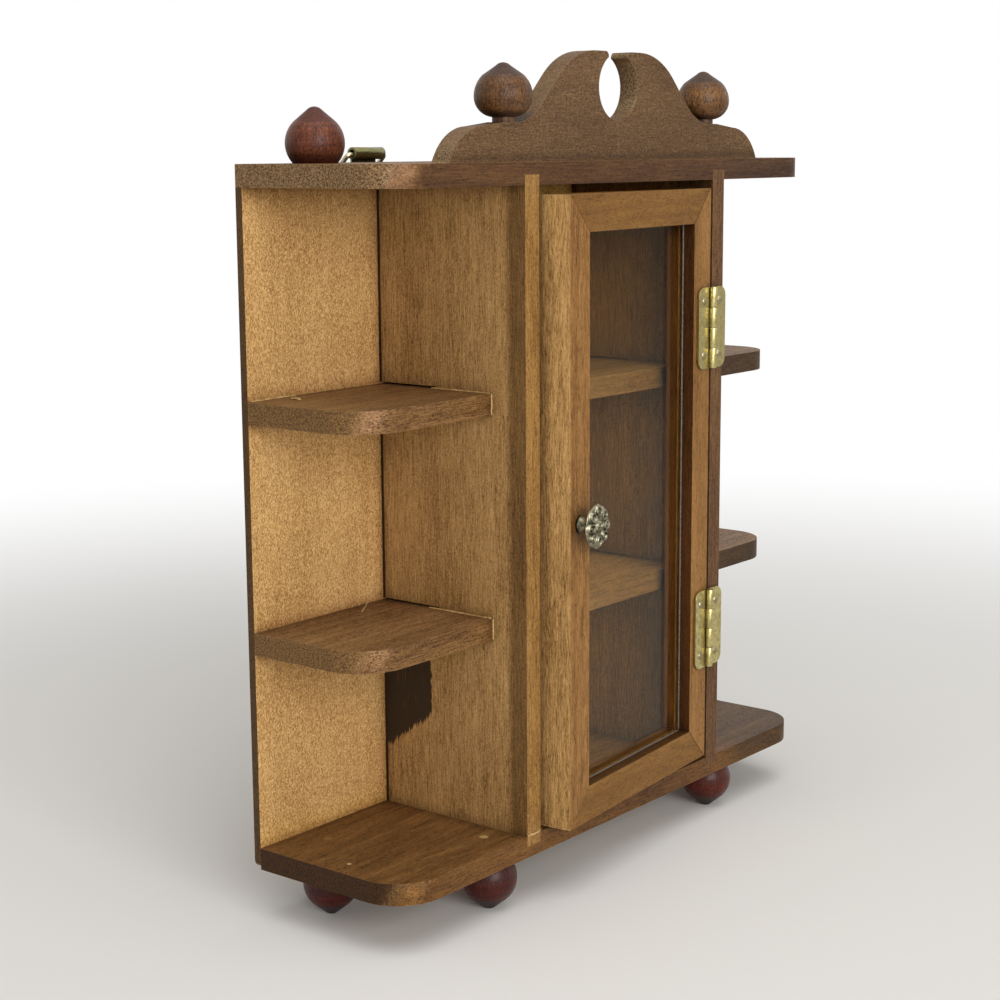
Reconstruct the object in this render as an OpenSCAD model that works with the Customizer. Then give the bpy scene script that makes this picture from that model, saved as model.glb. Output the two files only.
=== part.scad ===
// Wooden thimble display case: two open wings, a glazed centre bay with a hinged door,
// two shelves lapped through both dividers, a scrolled pediment and onion ball feet.
// Millimetres. X is across, Y runs from front to back and Z is up from the floor.

/* [Case] */
// Width of the top board, bottom board, shelves and back panel
case_w = 206; // [196:1:224]
// Height over the top and bottom boards
case_h = 196; // [190:1:214]
// Depth from the front edges to the back panel
inner_d = 53.8; // [50:0.2:62]
// Thickness of the boards, dividers and shelves
board_t = 6.2; // [5.8:0.1:6.8]
// Radius of the front corners of the boards and shelves
corner_r = 14; // [8:0.5:16]
// Clear width between the two dividers
bay_w = 87.4; // [82:0.2:92]
// Depth of the grooves that house the ends of the dividers
groove_d = 2.8; // [2:0.1:3.2]
// Gap round a divider in its groove and in the shelf laps
housing_fit = 0.1; // [0.05:0.01:0.2]

/* [Shelves] */
// Top face of the upper shelf above the underside of the bottom board
upper_shelf_z = 132.6; // [128:0.2:138]
// Top face of the lower shelf above the underside of the bottom board
lower_shelf_z = 68.4; // [64:0.2:74]
// Length of the lap slots cut into the back edges of the dividers
lap_d = 21.7; // [16:0.1:26]
// Open slit over each shelf in its lap slot
lap_slit = 0.6; // [0.2:0.1:1]

/* [Back panel] */
// Thickness of the back panel
panel_t = 2.4; // [2:0.1:3]
// Height of the panel's lower edge over the underside of the bottom board
panel_lift = 0.4; // [0.2:0.1:1]
// Radius of the panel's lower corners
panel_corner_r = 2; // [1:0.5:4]
// Distance of the outer panel pins from the centre
panel_pin_x = 72; // [64:1:80]
// Diameter of the panel pins
panel_pin_d = 1; // [0.8:0.1:1.2]
// Diameter of the panel pins' heads
panel_pin_head_d = 2; // [1.6:0.1:2.6]
// Thickness of the panel pins' heads
panel_pin_head_t = 0.4; // [0.3:0.1:0.6]
// Length of the panel pins under the head
panel_pin_len = 12; // [9:0.5:15]
// Gap round pins, nails and screws in their holes
pin_fit = 0.03; // [0.02:0.01:0.06]

/* [Pediment] */
// Width of the pediment
crest_w = 151.8; // [140:1:164]
// Thickness of the pediment
crest_t = 6.2; // [5.8:0.1:7]
// Distance from the front edges back to the pediment
crest_setback = 4.6; // [3:0.1:10]
// Height of the flats that carry the finials
crest_seat_z = 10.6; // [9.6:0.1:11.6]
// Height of the outer ends of the shoulders
crest_shoulder_z = 9.5; // [8.6:0.1:10.4]
// Run of the rounded end from the shoulder out to the tip of the board
crest_end_run = 13.9; // [12:0.1:16]
// Radius of the rounded ends
crest_end_r = 15.5; // [14:0.5:20]
// Radius of the hollow curve between the shoulder and the rise
crest_cove_r = 20; // [18:0.5:22]
// Slope of the rise between the hollow curve and the crown, in degrees
crest_rise_angle = 45; // [40:1:48]
// Length of the straight rise
crest_rise_len = 10.4; // [8:0.1:12]
// Radius of the crown
crest_crown_r = 24.5; // [22:0.5:26]
// Radius of the horn tips
crest_tip_r = 1.5; // [1:0.1:2]
// Width of the break between the horn tips
crest_break_w = 9.6; // [6:0.2:12]
// Radius of the round opening
crest_hole_r = 9.6; // [8.6:0.1:10]
// Height of the centre of the round opening
crest_hole_z = 20.7; // [20:0.1:21.4]
// Distance of each finial from the centre
finial_x = 49.4; // [47:0.2:52]
// Diameter of the dowels under the pediment
dowel_d = 3; // [2.5:0.1:3.6]
// Distance of the dowels from the centre
dowel_x = 28; // [20:1:40]
// Depth of the dowels in the pediment
dowel_crest_d = 6; // [4:0.5:7.5]
// Depth of the dowels in the top board
dowel_board_d = 4.2; // [3:0.1:4.8]

/* [Turned balls] */
// Diameter of the feet, wing balls and finials
ball_d = 16; // [14:0.2:17]
// Height of the feet
foot_h = 14.5; // [13.6:0.1:15.4]
// Height cut off the point of a foot where it stands
foot_trim = 0.3; // [0.2:0.05:0.6]
// Height of the widest line of a foot or wing ball over its seat
ball_waist_z = 5.3; // [4.6:0.1:6]
// Latitude at which the ball turns into its cone, in degrees
ball_cone_angle = 45; // [42:1:52]
// Radius of the rounded point
ball_point_r = 2.8; // [2:0.1:3.2]
// Height of a wing ball
wing_ball_h = 14.9; // [14.2:0.1:15.4]
// Diameter of the tenons under the balls
tenon_d = 4; // [3:0.1:4.4]
// Length of the tenons of the feet and wing balls
tenon_len = 3.8; // [3:0.1:4.2]
// Distance of the front feet's centres from the ends of the case
front_foot_inset = 46; // [33:0.5:49]
// Distance of the front feet's centres from the front edges
front_foot_y = 8.4; // [8.2:0.1:14]
// Distance of the rear feet's and wing balls' centres from the ends of the case
rear_foot_inset = 15.5; // [15:0.5:23]
// Distance of the rear feet and wing balls from the front edges
rear_foot_y = 41.5; // [36:0.5:44]
// Height of a finial over its seat
finial_h = 15.8; // [15.2:0.1:16.6]
// Height of the widest line of a finial over its seat
finial_waist_z = 6.8; // [6.4:0.1:7.2]
// Radius of the curve under the widest line of a finial
finial_under_r = 5.5; // [5:0.1:5.8]
// Diameter of a finial's neck
finial_neck_d = 6.2; // [5.6:0.1:6.8]
// Diameter of a finial's tenon
finial_tenon_d = 2.8; // [2.4:0.1:3.2]
// Length of a finial's tenon
finial_tenon_len = 5; // [4:0.1:6]

/* [Door] */
// Thickness of the door frame
door_t = 10; // [9:0.1:11]
// Width of the stiles and rails
stile_w = 10.6; // [10.2:0.1:12]
// Gap between the door and the right divider
door_gap_hinge = 0.8; // [0.6:0.1:1.2]
// Gap between the door and the left divider
door_gap_close = 2.6; // [1:0.1:4]
// Gap between the door and the top board
door_gap_top = 2.5; // [1:0.1:4]
// Gap between the door and the bottom board
door_gap_bottom = 1; // [0.6:0.1:2]
// Gap between the closed door and the front edges of the shelves
door_stop_gap = 2; // [2:0.1:3]
// Angle at which the door stands ajar, in degrees
door_ajar = 5.8; // [0:0.1:20]
// Thickness of the glass
glass_t = 2; // [1.6:0.1:2.6]
// Depth of the glass groove in the frame
glass_groove_d = 3; // [2:0.1:3.4]
// Gap round the glass in its groove
glass_fit = 0.15; // [0.1:0.05:0.3]

/* [Hinges] */
// Height of each hinge
hinge_h = 25; // [22:0.1:28]
// Width of each hinge laid flat
hinge_w = 16; // [15:0.1:17]
// Distance from each end of the door to the middle of its hinge
hinge_inset = 42.5; // [36:0.5:48]
// Thickness of the leaves
leaf_t = 0.8; // [0.6:0.05:1]
// Radius of the outer corners of the leaves
leaf_corner_r = 3; // [1:0.1:4]
// Diameter of the barrel
barrel_d = 2.5; // [2.3:0.1:2.8]
// Gap between the barrel and the wood behind it
barrel_gap = 0.15; // [0.1:0.05:0.3]
// Distance from the right edge of the door in to the barrel's centre line
barrel_inset = 0.5; // [0.2:0.05:0.7]
// Diameter of the hinge pins
hinge_pin_d = 1.3; // [1:0.1:1.4]
// Running gap round the hinge pins
hinge_pin_fit = 0.04; // [0.02:0.01:0.08]
// Gap between one knuckle and the next
knuckle_gap = 0.15; // [0.1:0.05:0.3]
// Distance of the nails from the barrel's centre line
nail_x = 4.6; // [4:0.1:5]
// Distance between the two nails of a leaf
nail_pitch = 16.6; // [14:0.1:18]
// Diameter of the hinge nails
nail_d = 1.2; // [1:0.1:1.4]
// Diameter of the nail heads
nail_head_d = 2.6; // [2.2:0.1:3]
// Height of the nail heads
nail_head_h = 0.5; // [0.3:0.1:0.5]
// Length of the hinge nails under the head
nail_len = 12.7; // [11.4:0.1:13]

/* [Knob] */
// Height of the knob's centre over the bottom of the door
knob_z = 88.5; // [80:0.5:96]
// Diameter of the rosette
knob_d = 12.9; // [12:0.1:14]
// Distance from the door to the back of the rosette
knob_reach = 4.9; // [4.4:0.1:6]
// Thickness of the rosette's rim
knob_rim_t = 1.3; // [1:0.1:1.8]
// Diameter of the foot of the stem
knob_foot_d = 5.2; // [4.8:0.1:6]
// Diameter of the waist of the stem
knob_waist_d = 4; // [3.8:0.1:4.4]
// Diameter of one petal
petal_d = 3.5; // [3:0.1:3.6]
// Height of a petal over the rim
petal_h = 1.1; // [0.8:0.1:1.4]
// Diameter of the centre boss
boss_d = 3.2; // [2.6:0.1:3.6]
// Diameter of the knob screw
knob_screw_d = 2.4; // [2:0.1:2.6]
// Depth of the knob screw in the knob
knob_screw_grip = 3.6; // [3:0.1:4]
// Diameter of the knob screw's head
knob_screw_head_d = 4.8; // [4:0.1:5.6]
// Height of the knob screw's head
knob_screw_head_h = 1.5; // [1.2:0.1:1.8]

/* [Hangers] */
// Distance of each hanger from the centre
hanger_x = 52.3; // [38:0.5:62]
// Thickness of the strap's sheet
strap_t = 0.6; // [0.5:0.05:0.8]
// Width of the strap
strap_w = 10; // [8:0.1:11]
// Width of the strap's rolled tube
tube_w = 12.4; // [11:0.1:14]
// Outer diameter of the rolled tube
tube_d = 3.4; // [3.2:0.1:4]
// Height of the tube's centre line over the top board
tube_lift = 2.5; // [2.1:0.1:3.2]
// Diameter of the ring's wire
ring_wire_d = 1.4; // [1.2:0.1:1.5]
// Gap under the ring's bar in the tube, and between the ring and the board that it leans on
ring_fit = 0.05; // [0.03:0.01:0.1]
// Radius of the ring's shoulders
ring_shoulder_r = 1.2; // [1:0.1:2]
// Straight length of the ring's sides
ring_side_len = 2.4; // [2:0.1:4]
// Diameter of the hanger screws
hanger_screw_d = 2; // [1.6:0.1:2.4]
// Diameter of the hanger screws' heads
hanger_screw_head_d = 4; // [3.4:0.1:4.6]
// Height of the hanger screws' heads
hanger_screw_head_h = 0.8; // [0.6:0.1:0.9]
// Length of the hanger screws under the head
hanger_screw_len = 10; // [8:0.5:12]

/* [Hidden] */

$fn = 48;
// Overshoot of a cut past the face that it opens
cut = 1;

case_d = inner_d + panel_t;
y_front = -case_d / 2;
y_panel = y_front + inner_d;
y_back = case_d / 2;
z_under = foot_h;
z_floor = z_under + board_t;
z_ceiling = z_under + case_h - board_t;
z_top = z_under + case_h;

divider_x = (bay_w + board_t) / 2;
slot_w = board_t + 2 * housing_fit;
shelf_setback = door_t + door_stop_gap;
shelf_tops = [lower_shelf_z, upper_shelf_z];

door_w = bay_w - door_gap_hinge - door_gap_close;
door_h = case_h - 2 * board_t - door_gap_top - door_gap_bottom;
door_x0 = door_gap_close - bay_w / 2;
door_x1 = door_x0 + door_w;
door_z0 = z_floor + door_gap_bottom;

hinge_x = door_x1 - barrel_inset;
hinge_y = y_front - barrel_gap - barrel_d / 2;
hinge_zs = [door_z0 + hinge_inset, door_z0 + door_h - hinge_inset];
// Reach of a leaf's inner edge from the barrel's centre line, where it passes its own knuckle
leaf_back = barrel_d / 2 + barrel_gap;

front_foot_x = case_w / 2 - front_foot_inset;
rear_foot_x = case_w / 2 - rear_foot_inset;

crest_y = y_front + crest_setback + crest_t / 2;
finial_seat_z = z_top + crest_seat_z;

tube_y = y_back + strap_t - tube_d / 2;
tube_z = z_top + tube_lift;
tube_bore_r = tube_d / 2 - strap_t;
hanger_screw_z = z_top - board_t / 2;
// The ring's bar lies on the bottom of the tube, and its sides lean on the board's rear edge
ring_r = ring_wire_d / 2;
ring_z = tube_z - tube_bore_r + ring_r + ring_fit;
ring_to_edge = [y_back - tube_y, ring_z - z_top];
ring_lean = atan2(ring_to_edge[0], ring_to_edge[1]) + asin((ring_r + ring_fit) / norm(ring_to_edge));

// Points of an arc about a centre, from one angle to another
function arc(c, r, a0, a1, steps = 12) =
    [for (i = [0 : steps]) let (a = a0 + (a1 - a0) * i / steps) [c[0] + r * cos(a), c[1] + r * sin(a)]];

// Boards and shelves

// Plan of a board whose front corners are rounded, with its front edge on Y = 0
module board_plan(w, d) {
    translate([corner_r - w / 2, 0]) square([w - 2 * corner_r, d]);
    translate([-w / 2, corner_r]) square([w, d - corner_r]);
    for (side = [-1, 1]) translate([side * (w / 2 - corner_r), corner_r]) circle(r = corner_r);
}

// Grooves that house one end of each divider, between two heights
module divider_grooves(z0, z1, overrun) {
    for (side = [-1, 1])
        translate([side * divider_x - slot_w / 2, y_front - cut, z0])
            cube([slot_w, inner_d + cut + overrun, z1 - z0]);
}

module top_board() {
    color("#6b4a2c") difference() {
        translate([0, y_front, z_ceiling]) linear_extrude(height = board_t) board_plan(case_w, case_d);
        divider_grooves(z_ceiling - cut, z_ceiling + groove_d, 0);
        for (side = [-1, 1]) {
            translate([side * rear_foot_x, y_front + rear_foot_y, z_top - tenon_len - pin_fit])
                cylinder(h = tenon_len + cut, r = tenon_d / 2 + pin_fit);
            translate([side * dowel_x, crest_y, z_top - dowel_board_d - pin_fit])
                cylinder(h = dowel_board_d + cut, r = dowel_d / 2 + pin_fit);
        }
        for (side = [-1, 1]) translate([side * hanger_x, 0, 0]) hanger_screw_hole();
    }
}

module bottom_board() {
    color("#7a5230") difference() {
        translate([0, y_front, z_under]) linear_extrude(height = board_t) board_plan(case_w, inner_d);
        divider_grooves(z_floor - groove_d, z_floor + cut, cut);
        foot_places() translate([0, 0, z_under - cut])
            cylinder(h = cut + tenon_len + pin_fit, r = tenon_d / 2 + pin_fit);
        panel_pin_holes();
    }
}

// Upright with its ends in the grooves and two lap slots in its back edge
module divider(side) {
    z0 = z_floor - groove_d;
    z1 = z_ceiling + groove_d;
    difference() {
        translate([side * divider_x - board_t / 2, y_front, z0]) cube([board_t, inner_d, z1 - z0]);
        for (z = shelf_tops)
            translate([side * divider_x - board_t / 2 - cut, y_panel - lap_d, z_under + z - board_t])
                cube([board_t + 2 * cut, lap_d + cut, board_t + lap_slit]);
        panel_pin_holes();
        translate([side * hanger_x, 0, 0]) hanger_screw_hole();
        if (side > 0) for (z = hinge_zs) nail_holes(z, 1, nail_len);
    }
}

module left_divider() color("#9a6b38") divider(-1);

module right_divider() color("#9a6b38") divider(1);

// Full-width shelf with a lap slot in its front edge for each divider
module shelf(z) {
    z0 = z_under + z - board_t;
    y0 = y_front + shelf_setback;
    d = inner_d - shelf_setback;
    difference() {
        translate([0, y0, z0]) linear_extrude(height = board_t) board_plan(case_w, d);
        for (side = [-1, 1])
            translate([side * divider_x - slot_w / 2, y0 - cut, z0 - cut])
                cube([slot_w, d - lap_d + cut + housing_fit, board_t + 2 * cut]);
        panel_pin_holes();
    }
}

module upper_shelf() color("#7d5632") shelf(upper_shelf_z);

module lower_shelf() color("#7d5632") shelf(lower_shelf_z);

// Back panel and its pins

module back_panel() {
    z0 = z_under + panel_lift;
    h = z_ceiling - z0;
    color("#c08a48") difference() {
        translate([0, y_back, z0]) rotate([90, 0, 0]) linear_extrude(height = panel_t) {
            translate([-case_w / 2, panel_corner_r]) square([case_w, h - panel_corner_r]);
            translate([panel_corner_r - case_w / 2, 0])
                square([case_w - 2 * panel_corner_r, panel_corner_r * 2]);
            for (side = [-1, 1])
                translate([side * (case_w / 2 - panel_corner_r), panel_corner_r]) circle(r = panel_corner_r);
        }
        panel_pin_holes();
    }
}

// Places of the panel pins: into the bottom board, both shelves and both dividers
divider_pin_zs = [lower_shelf_z / 2, (lower_shelf_z + upper_shelf_z) / 2, (upper_shelf_z + case_h) / 2];
panel_pin_places = concat(
    [for (x = [-panel_pin_x, -panel_pin_x / 3, panel_pin_x / 3, panel_pin_x]) [x, z_floor - board_t / 2]],
    [for (z = shelf_tops, x = [-panel_pin_x, 0, panel_pin_x]) [x, z_under + z - board_t / 2]],
    [for (side = [-1, 1], z = divider_pin_zs) [side * divider_x, z_under + z]]
);

module panel_pin_holes() {
    for (p = panel_pin_places)
        translate([p[0], y_back + cut, p[1]]) rotate([90, 0, 0])
            cylinder(h = panel_pin_len + pin_fit + cut, r = panel_pin_d / 2 + pin_fit);
}

module panel_pins() {
    color("#8d8778") for (p = panel_pin_places)
        translate([p[0], y_back, p[1]]) rotate([90, 0, 0]) {
            cylinder(h = panel_pin_len, r = panel_pin_d / 2);
            translate([0, 0, -panel_pin_head_t]) cylinder(h = panel_pin_head_t, r = panel_pin_head_d / 2);
        }
}

// Pediment

// Right half of the crest, from the middle of its base round to the break between the horns
crest_shoulder_x = crest_w / 2 - crest_end_run;
crest_cove_x = finial_x - finial_neck_d / 2;
crest_seat_x = finial_x + finial_neck_d / 2;
// Slope at which the hollow curve leaves the finial's seat
crest_cove_start = 10;
crest_end_chord = norm([crest_end_run, crest_shoulder_z]);
crest_end_chord_angle = atan2(crest_shoulder_z, crest_end_run);
crest_end_half = asin(crest_end_chord / 2 / crest_end_r);
crest_end_a0 = 90 - crest_end_chord_angle - crest_end_half;
crest_end_a1 = 90 - crest_end_chord_angle + crest_end_half;
crest_end_c = [crest_w / 2 - crest_end_r * cos(crest_end_a0), -crest_end_r * sin(crest_end_a0)];
crest_cove_c = [
    crest_cove_x + crest_cove_r * sin(crest_cove_start),
    crest_seat_z + crest_cove_r * cos(crest_cove_start)
];
crest_rise_0 = crest_cove_c - crest_cove_r * [sin(crest_rise_angle), cos(crest_rise_angle)];
crest_rise_1 = crest_rise_0 + crest_rise_len * [-cos(crest_rise_angle), sin(crest_rise_angle)];
crest_crown_c = crest_rise_1 - crest_crown_r * [sin(crest_rise_angle), cos(crest_rise_angle)];
crest_top_z = crest_crown_c[1] + crest_crown_r;
crest_tip_c = [crest_break_w / 2 + crest_tip_r, crest_top_z - crest_tip_r];

crest_half = concat(
    [[0, 0]],
    arc(crest_end_c, crest_end_r, crest_end_a0, crest_end_a1),
    [[crest_seat_x, crest_seat_z]],
    arc(crest_cove_c, crest_cove_r, 270 - crest_cove_start, 270 - crest_rise_angle),
    arc(crest_crown_c, crest_crown_r, 90 - crest_rise_angle, 90),
    arc(crest_tip_c, crest_tip_r, 90, 180, 6),
    [[crest_break_w / 2, crest_hole_z], [0, crest_hole_z]]
);

module crest_outline() {
    difference() {
        for (side = [0, 1]) mirror([side, 0]) polygon(crest_half);
        translate([0, crest_hole_z]) circle(r = crest_hole_r);
    }
}

module pediment() {
    color("#5b3f27") difference() {
        translate([0, crest_y + crest_t / 2, z_top]) rotate([90, 0, 0])
            linear_extrude(height = crest_t) crest_outline();
        for (side = [-1, 1]) {
            translate([side * dowel_x, crest_y, z_top - cut])
                cylinder(h = cut + dowel_crest_d + pin_fit, r = dowel_d / 2 + pin_fit);
            translate([side * finial_x, crest_y, finial_seat_z - finial_tenon_len - pin_fit])
                cylinder(h = finial_tenon_len + cut, r = finial_tenon_d / 2 + pin_fit);
        }
    }
}

module pediment_dowels() {
    color("#c9a676") for (side = [-1, 1])
        translate([side * dowel_x, crest_y, z_top - dowel_board_d])
            cylinder(h = dowel_board_d + dowel_crest_d, r = dowel_d / 2);
}

// Turned balls

// Upper part of a ball's profile, from its widest line at height z over the cone to its top
function ball_crown(z, top_z) = concat(
    arc([0, z], ball_d / 2, 0, ball_cone_angle, 10),
    arc([0, top_z - ball_point_r], ball_point_r, ball_cone_angle, 90, 5)
);

// Onion ball with a flat seat at Z = 0 and a tenon below it
module onion_ball(h) {
    seat_angle = asin(ball_waist_z / (ball_d / 2));
    rotate_extrude() polygon(concat(
        [[0, -tenon_len], [tenon_d / 2, -tenon_len], [tenon_d / 2, 0]],
        arc([0, ball_waist_z], ball_d / 2, -seat_angle, 0, 8),
        ball_crown(ball_waist_z, h)
    ));
}

// Onion finial with a neck, its seat at Z = 0 and a tenon below it
module finial() {
    under_c = [ball_d / 2 - finial_under_r, finial_waist_z];
    neck_angle = acos((finial_neck_d / 2 - under_c[0]) / finial_under_r);
    rotate_extrude() polygon(concat(
        [[0, -finial_tenon_len], [finial_tenon_d / 2, -finial_tenon_len], [finial_tenon_d / 2, 0]],
        [[finial_neck_d / 2, 0]],
        arc(under_c, finial_under_r, -neck_angle, 0, 10),
        ball_crown(finial_waist_z, finial_h)
    ));
}

module place_finial(side) translate([side * finial_x, crest_y, finial_seat_z]) finial();

module pediment_finial_left() color("#5a3a22") place_finial(-1);

module pediment_finial_right() color("#5a3a22") place_finial(1);

module place_wing_ball(side) {
    translate([side * rear_foot_x, y_front + rear_foot_y, z_top]) onion_ball(wing_ball_h);
}

module wing_ball_left() color("#5c2f20") place_wing_ball(-1);

module wing_ball_right() color("#5c2f20") place_wing_ball(1);

// Front and rear foot places on both sides
module foot_places() {
    for (side = [-1, 1]) {
        translate([side * front_foot_x, y_front + front_foot_y, 0]) children();
        translate([side * rear_foot_x, y_front + rear_foot_y, 0]) children();
    }
}

// Foot with its point down, cut flat where it stands on the floor
module foot(x, y) {
    translate([x, y_front + y, 0]) difference() {
        translate([0, 0, z_under]) mirror([0, 0, 1]) onion_ball(foot_h + foot_trim);
        translate([-ball_d / 2, -ball_d / 2, -foot_trim - cut]) cube([ball_d, ball_d, foot_trim + cut]);
    }
}

module front_foot_left() color("#4a1f18") foot(-front_foot_x, front_foot_y);

module front_foot_right() color("#4a1f18") foot(front_foot_x, front_foot_y);

module rear_foot_left() color("#4a1f18") foot(-rear_foot_x, rear_foot_y);

module rear_foot_right() color("#4a1f18") foot(rear_foot_x, rear_foot_y);

// Door

// Swings what is modelled on the closed door out to where the door stands ajar
module ajar() {
    translate([hinge_x, hinge_y, 0]) rotate([0, 0, door_ajar]) translate([-hinge_x, -hinge_y, 0]) children();
}

// Space for the glass, wider than the sight opening by the groove on every side
module glass_space(fit) {
    edge = stile_w - glass_groove_d + (glass_fit - fit);
    t = glass_t + 2 * fit;
    translate([door_x0 + edge, y_front + (door_t - t) / 2, door_z0 + edge])
        cube([door_w - 2 * edge, t, door_h - 2 * edge]);
}

// One bar of the mitred frame, from its outline on the face of the door
module door_bar(outline) {
    difference() {
        translate([door_x0, y_front + door_t, door_z0]) rotate([90, 0, 0])
            linear_extrude(height = door_t) polygon(outline);
        glass_space(glass_fit);
        children();
    }
}

module door_hinge_stile() {
    color("#a9713a") ajar() door_bar([
        [door_w, 0], [door_w, door_h], [door_w - stile_w, door_h - stile_w], [door_w - stile_w, stile_w]
    ]) {
        for (z = hinge_zs) nail_holes(z, -1, nail_len + cut);
    }
}

module door_closing_stile() {
    color("#a9713a") ajar() door_bar([
        [0, 0], [stile_w, stile_w], [stile_w, door_h - stile_w], [0, door_h]
    ]) {
        knob_axis() translate([0, 0, -door_t - cut])
            cylinder(h = door_t + 2 * cut, r = knob_screw_d / 2 + pin_fit);
    }
}

module door_top_rail() {
    color("#a9713a") ajar() door_bar([
        [0, door_h], [stile_w, door_h - stile_w], [door_w - stile_w, door_h - stile_w], [door_w, door_h]
    ]);
}

module door_bottom_rail() {
    color("#a9713a") ajar() door_bar([
        [0, 0], [door_w, 0], [door_w - stile_w, stile_w], [stile_w, stile_w]
    ]);
}

module door_glass() color("#c8d4d0", 0.35) ajar() glass_space(0);

// Knob

// Puts +Z on the knob's axis, out of the front face of the closing stile
module knob_axis() {
    translate([door_x0 + stile_w / 2, y_front, door_z0 + knob_z]) rotate([90, 0, 0]) children();
}

// One cupped petal with a raised rim and a small bead in it
module petal() {
    r = petal_d / 2;
    rotate_extrude($fn = 24) polygon([
        [0, 0], [r, 0], [r, petal_h * 0.7], [r * 0.86, petal_h], [r * 0.7, petal_h * 0.92],
        [r * 0.5, petal_h * 0.6], [r * 0.3, petal_h * 0.72], [0, petal_h * 0.9]
    ]);
}

module door_knob() {
    r = knob_d / 2;
    foot_r = knob_foot_d / 2;
    waist_r = knob_waist_d / 2;
    face_z = knob_reach + knob_rim_t;
    petal_ring_r = r * 0.98 - petal_d / 2;
    sink = knob_rim_t * 0.15;
    color("#8a7d5a") ajar() knob_axis() difference() {
        union() {
            rotate_extrude() polygon(concat(
                [[0, 0], [foot_r, 0], [foot_r, knob_reach * 0.1]],
                [[waist_r * 1.1, knob_reach * 0.28], [waist_r, knob_reach * 0.5]],
                [[waist_r * 1.15, knob_reach * 0.68], [foot_r, knob_reach * 0.84]],
                [[r * 0.62, knob_reach * 0.94], [r * 0.94, knob_reach], [r, knob_reach + knob_rim_t * 0.25]],
                [[r, face_z - knob_rim_t * 0.3], [r * 0.96, face_z], [0, face_z]]
            ));
            for (i = [0 : 7]) rotate([0, 0, 45 * i]) translate([petal_ring_r, 0, face_z - sink]) petal();
            translate([0, 0, face_z - sink]) rotate_extrude() polygon(concat(
                [[0, 0], [boss_d / 2, 0]],
                arc([0, 0], boss_d / 2, 20, 90, 5)
            ));
        }
        translate([0, 0, -cut]) cylinder(h = cut + knob_screw_grip + pin_fit, r = knob_screw_d / 2 + pin_fit);
    }
}

module door_knob_screw() {
    slot = knob_screw_head_d / 8;
    color("#8d8778") ajar() knob_axis() difference() {
        union() {
            translate([0, 0, -door_t]) cylinder(h = door_t + knob_screw_grip, r = knob_screw_d / 2);
            translate([0, 0, -door_t - knob_screw_head_h])
                cylinder(h = knob_screw_head_h, r1 = knob_screw_head_d * 0.38, r2 = knob_screw_head_d / 2);
        }
        translate([-knob_screw_head_d, -slot / 2, -door_t - knob_screw_head_h - cut])
            cube([2 * knob_screw_head_d, slot, cut + knob_screw_head_h / 2]);
    }
}

// Hinges

// Puts +Z down each nail of one leaf, from the leaf's face; side is 1 in the divider and -1 in the door
module nail_places(z, side) {
    for (end = [-1, 1])
        translate([hinge_x + side * nail_x, y_front - leaf_t, z + end * nail_pitch / 2]) rotate([-90, 0, 0])
            children();
}

module nail_holes(z, side, depth) {
    nail_places(z, side) translate([0, 0, -cut])
        cylinder(h = cut + depth + pin_fit, r = nail_d / 2 + pin_fit);
}

// Outline of a leaf's plate that reaches out along +X, with its outer corners rounded
module leaf_plan() {
    w = hinge_w / 2;
    r = leaf_corner_r;
    translate([0, -hinge_h / 2]) square([w - r, hinge_h]);
    translate([0, r - hinge_h / 2]) square([w, hinge_h - 2 * r]);
    for (end = [-1, 1]) translate([w - r, end * (hinge_h / 2 - r)]) circle(r = r);
}

// Bands of the barrel that belong to the leaf whose first knuckle, counted from the top, is given
module knuckle_bands(first, r, gap) {
    pitch = hinge_h / 4;
    for (i = [first, first + 2])
        translate([0, 0, hinge_h / 2 - (i + 1) * pitch + gap / 2]) cylinder(h = pitch - gap, r = r);
}

// One leaf on the barrel's centre line; side is 1 towards the divider and -1 towards the door
module hinge_leaf(side, first) {
    other = 1 - first;
    difference() {
        union() {
            translate([0, leaf_back, 0]) rotate([90, 0, 0]) linear_extrude(height = leaf_t)
                mirror([(1 - side) / 2, 0]) leaf_plan();
            knuckle_bands(first, barrel_d / 2, knuckle_gap);
        }
        knuckle_bands(other, leaf_back + barrel_gap, -knuckle_gap);
        translate([0, 0, -hinge_h]) cylinder(h = 2 * hinge_h, r = hinge_pin_d / 2 + hinge_pin_fit);
        for (end = [-1, 1])
            translate([side * nail_x, leaf_back - leaf_t - cut, end * nail_pitch / 2]) rotate([-90, 0, 0])
                cylinder(h = leaf_t + 2 * cut, r = nail_d / 2 + pin_fit);
    }
}

module place_hinge(z) translate([hinge_x, hinge_y, z]) children();

module case_leaf(z) color("#b59b4e") place_hinge(z) hinge_leaf(1, 0);

module door_leaf(z) color("#b59b4e") ajar() place_hinge(z) hinge_leaf(-1, 1);

module hinge_pin(z) {
    color("#a08a48") place_hinge(z) translate([0, 0, -hinge_h / 2])
        cylinder(h = hinge_h, r = hinge_pin_d / 2);
}

module upper_hinge_case_leaf() case_leaf(hinge_zs[1]);

module upper_hinge_door_leaf() door_leaf(hinge_zs[1]);

module upper_hinge_pin() hinge_pin(hinge_zs[1]);

module lower_hinge_case_leaf() case_leaf(hinge_zs[0]);

module lower_hinge_door_leaf() door_leaf(hinge_zs[0]);

module lower_hinge_pin() hinge_pin(hinge_zs[0]);

// Nails of both hinges on one side, with domed heads on the leaves and pointed ends
module hinge_nails(side) {
    point_len = 2 * nail_d;
    for (z = hinge_zs) nail_places(z, side) rotate_extrude() polygon([
        [0, -nail_head_h], [nail_head_d * 0.25, -nail_head_h * 0.9], [nail_head_d * 0.42, -nail_head_h * 0.5],
        [nail_head_d / 2, 0], [nail_d / 2, 0], [nail_d / 2, nail_len - point_len], [0, nail_len]
    ]);
}

module hinge_case_nails() color("#b8b0a0") hinge_nails(1);

module hinge_door_nails() color("#b8b0a0") ajar() hinge_nails(-1);

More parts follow.
